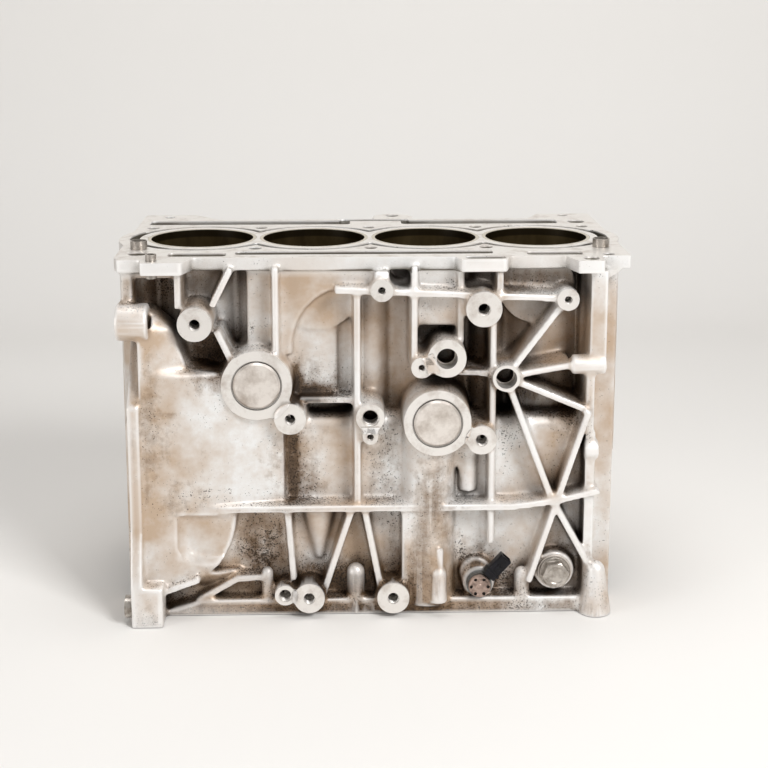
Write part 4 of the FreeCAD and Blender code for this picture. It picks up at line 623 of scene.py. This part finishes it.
def millSkin(skin, sump, deck):
    # each machined face is cut back to the solid's own plane
    wide = casting["reach"]
    cutWith(skin, cutter("deckCut", [boxBody(Vector((-wide, -wide, deck)), Vector((wide, wide, wide)))]))
    cutWith(skin, cutter("sumpCut", [boxBody(Vector((-wide, -wide, -wide)), Vector((wide, wide, sump)))]))
    size = milling
    faces, holes, grooves, seats = [], [], [], []
    for x, z, radius, hole, front in bossFaces.values():
        faces.append(rodBody(x, z, radius + size["margin"], front + size["clear"], front))
        if hole < size["bore"]:
            holes.append(rodBody(x, z, hole + size["tapped"], front + size["holeClear"],
                                 front - size["holeDepth"], size["holeSides"]))
            continue
        for rods, seat, depth in ((grooves, "groove", "grooveDepth"), (seats, "bore", "boreDepth")):
            rods.append(rodBody(x, z, size[seat], front + size["plugClear"], front - size[depth],
                                size["plugSides"]))
    for name, front in milledWebs.items():
        start, end, width = castWebs[name][:3]
        faces.append(webBody(start, end, width + 2 * size["webMargin"], front + size["clear"], front))
    for name, bodies in {"bossCut": faces, "holeCut": holes, "grooveCut": grooves, "seatCut": seats}.items():
        cutWith(skin, cutter(name, bodies))


# old oil on the ribbed side in mm: x, z, half width, half height, how thick
spills = {
    "underArch": (-42, 112, 15, 7, 1.25), "archCorner": (-53, 114, 5, 16, 1.2),
    "leftBay": (-78, 0, 18, 26, 0.9), "shieldDrip": (-56, 62, 7, 34, 1.05),
    "column": (42, 34, 14, 42, 0.5), "columnFoot": (34, -22, 18, 18, 0.55),
    "hubCorner": (106, 108, 22, 9, 0.6), "timingBay": (142, 98, 12, 22, 0.55),
    "flangeCorner": (-154, 92, 9, 44, 0.5), "topLeft": (-150, 186, 24, 12, 0.6),
    "lowerBays": (-25, -26, 70, 12, 0.9), "valveFoot": (84, -30, 34, 12, 0.7),
    "sumpRail": (-20, -44, 150, 6, 0.85), "panelFoot": (-140, 40, 26, 14, 0.35),
    "centreBay": (8, 60, 12, 34, 0.5), "mountBay": (70, 128, 18, 14, 0.6),
    "valveBoss": (75, -20, 15, 15, 0.85), "plugCorner": (136, -16, 20, 16, 0.5),
    "bracketPocket": (-112, 138, 16, 16, 0.9), "hubLeft": (78, 118, 12, 20, 0.6),
    "rightTop": (112, 190, 30, 6, 0.5), "feedBay": (40, 160, 12, 22, 0.3),
}
# a spill's edge, and where it starts in front of the crankshaft and how soon it is full, in mm
spillFade = {"edge": 0.7, "start": 40, "full": 8}


def spillMap(corners):
    # thickest spill over each corner of the ribbed side, fading out towards the patch's edge
    thick = np.zeros(len(corners))
    for x, z, halfWidth, halfHeight, amount in spills.values():
        away = ((corners[:, 0] / mm - x) / halfWidth) ** 2 + ((corners[:, 2] / mm - z) / halfHeight) ** 2
        thick = np.maximum(thick, amount * np.exp(-spillFade["edge"] * away))
    return thick * np.clip((-corners[:, 1] / mm - spillFade["start"]) / spillFade["full"], 0, 1)


def makeCasting():
    skin, sump, deck = makeRough()
    stand, lookup = softenSkin(skin)
    skin.data.materials.clear()
    skin.data.materials.append(castAluminium)
    millSkin(skin, sump, deck)
    # two maps for the material: how far a corner stands out, and the spills
    corners = readCorners(skin.data)
    # how far each corner stands out, which lightens edges in the material: rubbing and a painted highlight
    convexity = np.array([stand[lookup.find(corner)[1]] for corner in corners])
    for label, values in {"convex": convexity, "stain": spillMap(corners)}.items():
        layer = skin.data.attributes.new(label, "FLOAT", "POINT")
        layer.data.foreach_set("value", values.astype(np.float32))
    skin.data.shade_smooth()
    skin.data.set_sharp_from_angle(angle=math.radians(casting["sharpAngle"]))
    finishPiece(skin, "cast_aluminium", "cylinder_block")
    print("casting made", len(skin.data.polygons))


makeCasting()


def newGroup(name, labels):
    # a Geometry Nodes tree with one number input for each label
    tree = bpy.data.node_groups.new(name, "GeometryNodeTree")
    tree.interface.new_socket("Geometry", in_out="INPUT", socket_type="NodeSocketGeometry")
    for label in labels:
        tree.interface.new_socket(label, in_out="INPUT", socket_type="NodeSocketFloat")
    tree.interface.new_socket("Geometry", in_out="OUTPUT", socket_type="NodeSocketGeometry")
    return tree


def runGroup(obj, tree, values):
    modifier = obj.modifiers.new(tree.name, "NODES")
    modifier.node_group = tree
    for item in tree.interface.items_tree:
        if item.in_out == "INPUT" and item.name in values:
            modifier[item.identifier] = values[item.name]
    applied(obj)


# Tapped holes: one thread, scaled by each hole's radius and set at its mouth. Pitch and crest are shares
# of that radius, and inset and largest are in mm.
threads = {
    "coil": {"Pitch": 0.34, "Turns": 9.0, "Crest": 0.17}, "steps": 22, "ridgeSides": 4, "inset": 0.8,
    "largest": 6.5,
}


def makeThreads():
    holes = [row for row in bossFaces.values() if row[3] < threads["largest"]]
    mesh = bpy.data.meshes.new("threadPlaces")
    inset = threads["inset"]
    mesh.from_pydata([(x * mm, -(front - inset) * mm, z * mm) for x, z, radius, hole, front in holes], [], [])
    size = mesh.attributes.new("size", "FLOAT", "POINT")
    size.data.foreach_set("value", [(hole + milling["tapped"]) * mm for x, z, radius, hole, front in holes])
    obj = bpy.data.objects.new("bossThreads", mesh)
    scene.collection.objects.link(obj)
    tree = newGroup("tappedThreads", threads["coil"])
    add = partial(addNode, tree)
    given = add("NodeGroupInput").outputs
    tall = add("ShaderNodeMath", {0: given["Pitch"], 1: given["Turns"]}, operation="MULTIPLY")
    coil = add("GeometryNodeCurveSpiral", {"Resolution": threads["steps"], "Rotations": given["Turns"],
               "Start Radius": 1.0, "End Radius": 1.0, "Height": tall})
    ridge = add("GeometryNodeCurvePrimitiveCircle", {"Resolution": threads["ridgeSides"],
                "Radius": given["Crest"]})
    thread = add("GeometryNodeCurveToMesh", {"Curve": coil, "Profile Curve": ridge, "Fill Caps": True})
    wide = add("GeometryNodeInputNamedAttribute", {"Name": "size"}, data_type="FLOAT")
    turned = add("FunctionNodeEulerToRotation", {"Euler": (-math.pi / 2, 0.0, 0.0)})
    placed = add("GeometryNodeInstanceOnPoints", {"Points": given["Geometry"], "Instance": thread,
                 "Rotation": turned, "Scale": wide.outputs["Attribute"]})
    solid = add("GeometryNodeRealizeInstances", {"Geometry": placed})
    coated = add("GeometryNodeSetMaterial", {"Geometry": solid, "Material": machinedAluminium})
    add("NodeGroupOutput", {"Geometry": coated})
    runGroup(obj, tree, threads["coil"])
    finishPiece(obj, "cast_aluminium")
    print("threads made", len(obj.data.polygons))


makeThreads()

# the small turned and moulded pieces: sides of a turned body, and the angles in degrees that stay sharp
turned = {"sides": 96, "sharpAngle": 28, "blockSharpAngle": 30}


def turnedPiece(name, rings, place, finish):
    # rings of a body about an axis along -Y: radius and height in mm, or functions of the angle
    work = bmesh.new()
    rows = []
    for radius, height in rings:
        row = []
        for step in range(turned["sides"]):
            angle = 2 * math.pi * step / turned["sides"]
            out = radius(angle) if callable(radius) else radius
            up = height(angle) if callable(height) else height
            row.append(work.verts.new((place.x + out * mm * math.cos(angle), place.y - up * mm,
                                       place.z + out * mm * math.sin(angle))))
        rows.append(row)
    for first, second in zip(rows, rows[1:]):
        for step in range(turned["sides"]):
            work.faces.new((first[step], first[step - 1], second[step - 1], second[step]))
    for row in (rows[0], rows[-1]):
        work.faces.new(row)
    bmesh.ops.recalc_face_normals(work, faces=work.faces)
    obj = newObject(name, work, finish)
    obj.data.shade_smooth()
    obj.data.set_sharp_from_angle(angle=math.radians(turned["sharpAngle"]))
    return obj


def mouth(node):
    # middle of a node's box in X and Z, at its innermost face
    low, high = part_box(node)
    return Vector(((low.x + high.x) / 2, high.y, (low.z + high.z) / 2))


# The hexagon plug of the crankshaft locking hole, in mm from the inner end of its thread
lockPlug = {
    "flats": 17, "turn": 8, "shank": 5.95, "shankEdge": 1, "flange": 11, "flangeEdge": 0.5, "toFlange": 13.5,
    "toHead": 15.5, "headFoot": 0.3, "headFootHeight": 0.4, "toTop": 21.5, "chamfer": 8.7, "slope": 0.58,
    "rim": 0.1, "rimDrop": 0.05, "dish": 6.4, "dishWall": 0.8, "dishDepth": 0.5,
}


def makeLockPlug():
    look = lockPlug
    sector = math.pi / 3
    flange, edge, head, top = look["flange"], look["flangeEdge"], look["toHead"], look["toTop"]

    def hexagon(angle):
        across = (angle - math.radians(look["turn"])) % sector - sector / 2
        return look["flats"] / 2 / math.cos(across)

    def headFoot(angle):
        return hexagon(angle) + look["headFoot"]

    def shoulder(angle):
        return top - max(hexagon(angle) - look["chamfer"], 0.0) * look["slope"] - look["rimDrop"]

    def rim(angle):
        return min(hexagon(angle), look["chamfer"]) - look["rim"]

    rings = [
        (look["shank"] - look["shankEdge"], 0), (look["shank"], look["shankEdge"]),
        (look["shank"], look["toFlange"]), (flange - edge, look["toFlange"]), (flange, look["toFlange"] + edge),
        (flange, head - edge), (flange - edge, head), (headFoot, head),
        (hexagon, head + look["headFootHeight"]), (hexagon, shoulder), (rim, top),
        (look["dish"], top), (look["dish"] - look["dishWall"], top - look["dishDepth"]),
    ]
    obj = turnedPiece("crankLockPlug", rings, mouth("crank_lock_plug"), small["oiledSteel"])
    finishPiece(obj, "plug_steel", "crank_lock_plug")
    print("lock plug made")


makeLockPlug()

# The oil pressure valve's crimped cap in mm: rings of radius and height, and the ring of round notches
valveCap = {
    "rings": [(7.7, 0), (8, 0.3), (8, 3.1), (7.7, 3.75), (7.1, 4), (6.2, 4), (5.7, 3.4), (2.0, 3.4),
              (1.4, 3.9)],
    "notches": 6, "notchRing": 6.0, "notchRadius": 1.2, "notchDepth": 1.8, "notchSides": 16,
}


def makeValveCap():
    look = valveCap
    place = mouth("oil_valve_cap")
    obj = turnedPiece("oilValveCap", look["rings"], place, small["crimpedSteel"])
    mesh = bpy.data.meshes.new("notchPlace")
    mesh.from_pydata([(place.x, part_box("oil_valve_cap")[0].y, place.z)], [], [])
    tool = bpy.data.objects.new("notchCut", mesh)
    scene.collection.objects.link(tool)
    sizes = {"Ring": look["notchRing"] * mm, "Notch": look["notchRadius"] * mm,
             "Depth": 2 * look["notchDepth"] * mm}
    tree = newGroup("crimpNotches", sizes)
    add = partial(addNode, tree)
    given = add("NodeGroupInput").outputs
    facing = (math.pi / 2, 0.0, 0.0)
    ring = add("GeometryNodeCurvePrimitiveCircle", {"Resolution": look["notches"], "Radius": given["Ring"]})
    upright = add("GeometryNodeTransform", {"Geometry": ring, "Rotation": facing})
    places = add("GeometryNodeCurveToPoints", {"Curve": upright}, mode="EVALUATED")
    rod = add("GeometryNodeMeshCylinder", {"Vertices": look["notchSides"], "Radius": given["Notch"],
              "Depth": given["Depth"]})
    laid = add("GeometryNodeTransform", {"Geometry": rod.outputs["Mesh"], "Rotation": facing})
    around = add("GeometryNodeInstanceOnPoints", {"Points": places, "Instance": laid})
    one = add("GeometryNodeInstanceOnPoints", {"Points": given["Geometry"], "Instance": around})
    solid = add("GeometryNodeRealizeInstances", {"Geometry": one})
    coated = add("GeometryNodeSetMaterial", {"Geometry": solid, "Material": small["phosphatedSteel"]})
    add("NodeGroupOutput", {"Geometry": coated})
    runGroup(tool, tree, sizes)
    cutWith(obj, tool)
    obj.data.set_sharp_from_angle(angle=math.radians(turned["sharpAngle"]))
    finishPiece(obj, "valve_cap", "oil_valve_cap")
    print("valve cap made", len(obj.data.polygons))


makeValveCap()

# The valve's angled connector, in mm from the valve's axis. Each block: low and high along it, across it and
# in front of the crankshaft, and the rounding of its edges.
connector = {
    "angle": 48, "wall": 1.2, "socketDepth": 9, "bevelSteps": 3,
    "blocks": {
        "shell": ((9.3, 28.3), (-4.75, 4.75), (83, 91.2), 0.9),
        "collar": ((12.5, 14.1), (-5.45, 5.45), (82.7, 91.7), 0.4),
        "latch": ((16.5, 21.5), (-1.7, 1.7), (90, 92), 0.4),
        "neck": ((4, 10.3), (-2.6, 2.6), (83.5, 88.5), 0.6),
    },
}


def makeConnector():
    look = connector
    place = mouth("oil_valve_cap")
    turn = Matrix.Translation((place.x, 0, place.z)) @ Matrix.Rotation(-math.radians(look["angle"]), 4, "Y")
    work = bmesh.new()
    for along, across, depth, edge in look["blocks"].values():
        size = Vector((along[1] - along[0], depth[1] - depth[0], across[1] - across[0])) * mm
        centre = Vector((sum(along) / 2, -sum(depth) / 2, sum(across) / 2)) * mm
        corners = addBox(work, turn @ Matrix.Translation(centre), size)
        edges = list({line for corner in corners for line in corner.link_edges})
        bmesh.ops.bevel(work, geom=edges, offset=edge * mm, segments=look["bevelSteps"], profile=0.5,
                        affect="EDGES")
    bmesh.ops.recalc_face_normals(work, faces=work.faces)
    obj = newObject("oilValveConnector", work, small["blackNylon"])
    along, across, depth = look["blocks"]["shell"][:3]
    walls = 2 * look["wall"]
    size = Vector((2 * look["socketDepth"], depth[1] - depth[0] - walls, across[1] - across[0] - walls)) * mm
    socket = turn @ Matrix.Translation(Vector((along[1], -sum(depth) / 2, 0)) * mm)
    cutWith(obj, cutter("socketCut", [lambda body: addBox(body, socket, size)], small["blackNylon"]))
    obj.data.shade_smooth()
    obj.data.set_sharp_from_angle(angle=math.radians(turned["blockSharpAngle"]))
    finishPiece(obj, "connector_plastic", "oil_valve_connector")
    print("connector made", len(obj.data.polygons))


makeConnector()

# Matt painted board, plain and pale, curved up behind the block; in metres
stageLook = {
    "colour": "#e9e7e4", "roughness": 0.7, "half": 3.0, "wall": 1.1, "bend": 0.35, "bendSteps": 12,
    "height": 2.2, "gap": 0.5 * mm,
}


def makeStage():
    look = stageLook
    material, tree = newMaterial("paleFloor")
    shader = addNode(tree, "ShaderNodeBsdfPrincipled", {"Base Color": look["colour"],
                     "Roughness": look["roughness"]})
    addNode(tree, "ShaderNodeOutputMaterial", {"Surface": shader})
    half, back, bend = look["half"], look["wall"], look["bend"]
    level = cadLow.z - look["gap"]
    profile = [(-half, level), (back - bend, level)]
    profile += [(back - bend + bend * math.sin(t), level + bend * (1 - math.cos(t)))
                for t in np.linspace(0, math.pi / 2, look["bendSteps"] + 1)[1:]]
    profile += [(back, level + look["height"])]
    work = bmesh.new()
    rows = [[work.verts.new((side * half, y, z)) for y, z in profile] for side in (-1, 1)]
    for i in range(len(profile) - 1):
        work.faces.new((rows[0][i], rows[1][i], rows[1][i + 1], rows[0][i + 1]))
    floor = newObject("floor", work, material)
    floor.data.shade_smooth()


makeStage()

# each lamp's place and aim in metres, its width and its watts
lamps = {
    "keyLight": ((0.9, -1.3, 1.25), (0, 0, 0.1), 0.6, 28),
    "topLight": ((-0.1, -0.1, 1.5), (0, 0, 0.1), 0.8, 8),
    "leftLight": ((-1.5, -1.0, 0.5), (0, 0, 0.1), 0.6, 7),
}
for name, (spot, aim, size, power) in lamps.items():
    data = bpy.data.lights.new(name, "AREA")
    data.size = size
    data.energy = power
    lamp = bpy.data.objects.new(name, data)
    lamp.location = spot
    lamp.rotation_euler = (Vector(spot) - Vector(aim)).to_track_quat("Z", "Y").to_euler()
    scene.collection.objects.link(lamp)

studio = {"colour": "#f4f1ee", "strength": 0.3}
world = bpy.data.worlds.new("studio")
world.use_nodes = True
world.node_tree.nodes["Background"].inputs["Color"].default_value = linear(studio["colour"])
world.node_tree.nodes["Background"].inputs["Strength"].default_value = studio["strength"]
scene.world = world
scene.view_settings.view_transform = "Standard"

# the camera: place and lens in mm, turned down and to the right in degrees, far clip in metres
shot = {"spot": (-21.9, -1089.3, 401.4), "down": 11.18, "right": 1.71, "lens": 70.21875, "sensor": 36,
        "shift": -0.15, "far": 20}
cameraData = bpy.data.cameras.new("camera")
cameraData.sensor_width = shot["sensor"]
cameraData.lens = shot["lens"]
cameraData.shift_y = shot["shift"]
cameraData.clip_end = shot["far"]
camera = bpy.data.objects.new("camera", cameraData)
camera.location = Vector(shot["spot"]) * mm
camera.rotation_euler = Euler((math.radians(90 - shot["down"]), 0, math.radians(-shot["right"])), "XYZ")
scene.collection.objects.link(camera)
scene.camera = camera
print("stage, lights and camera made")
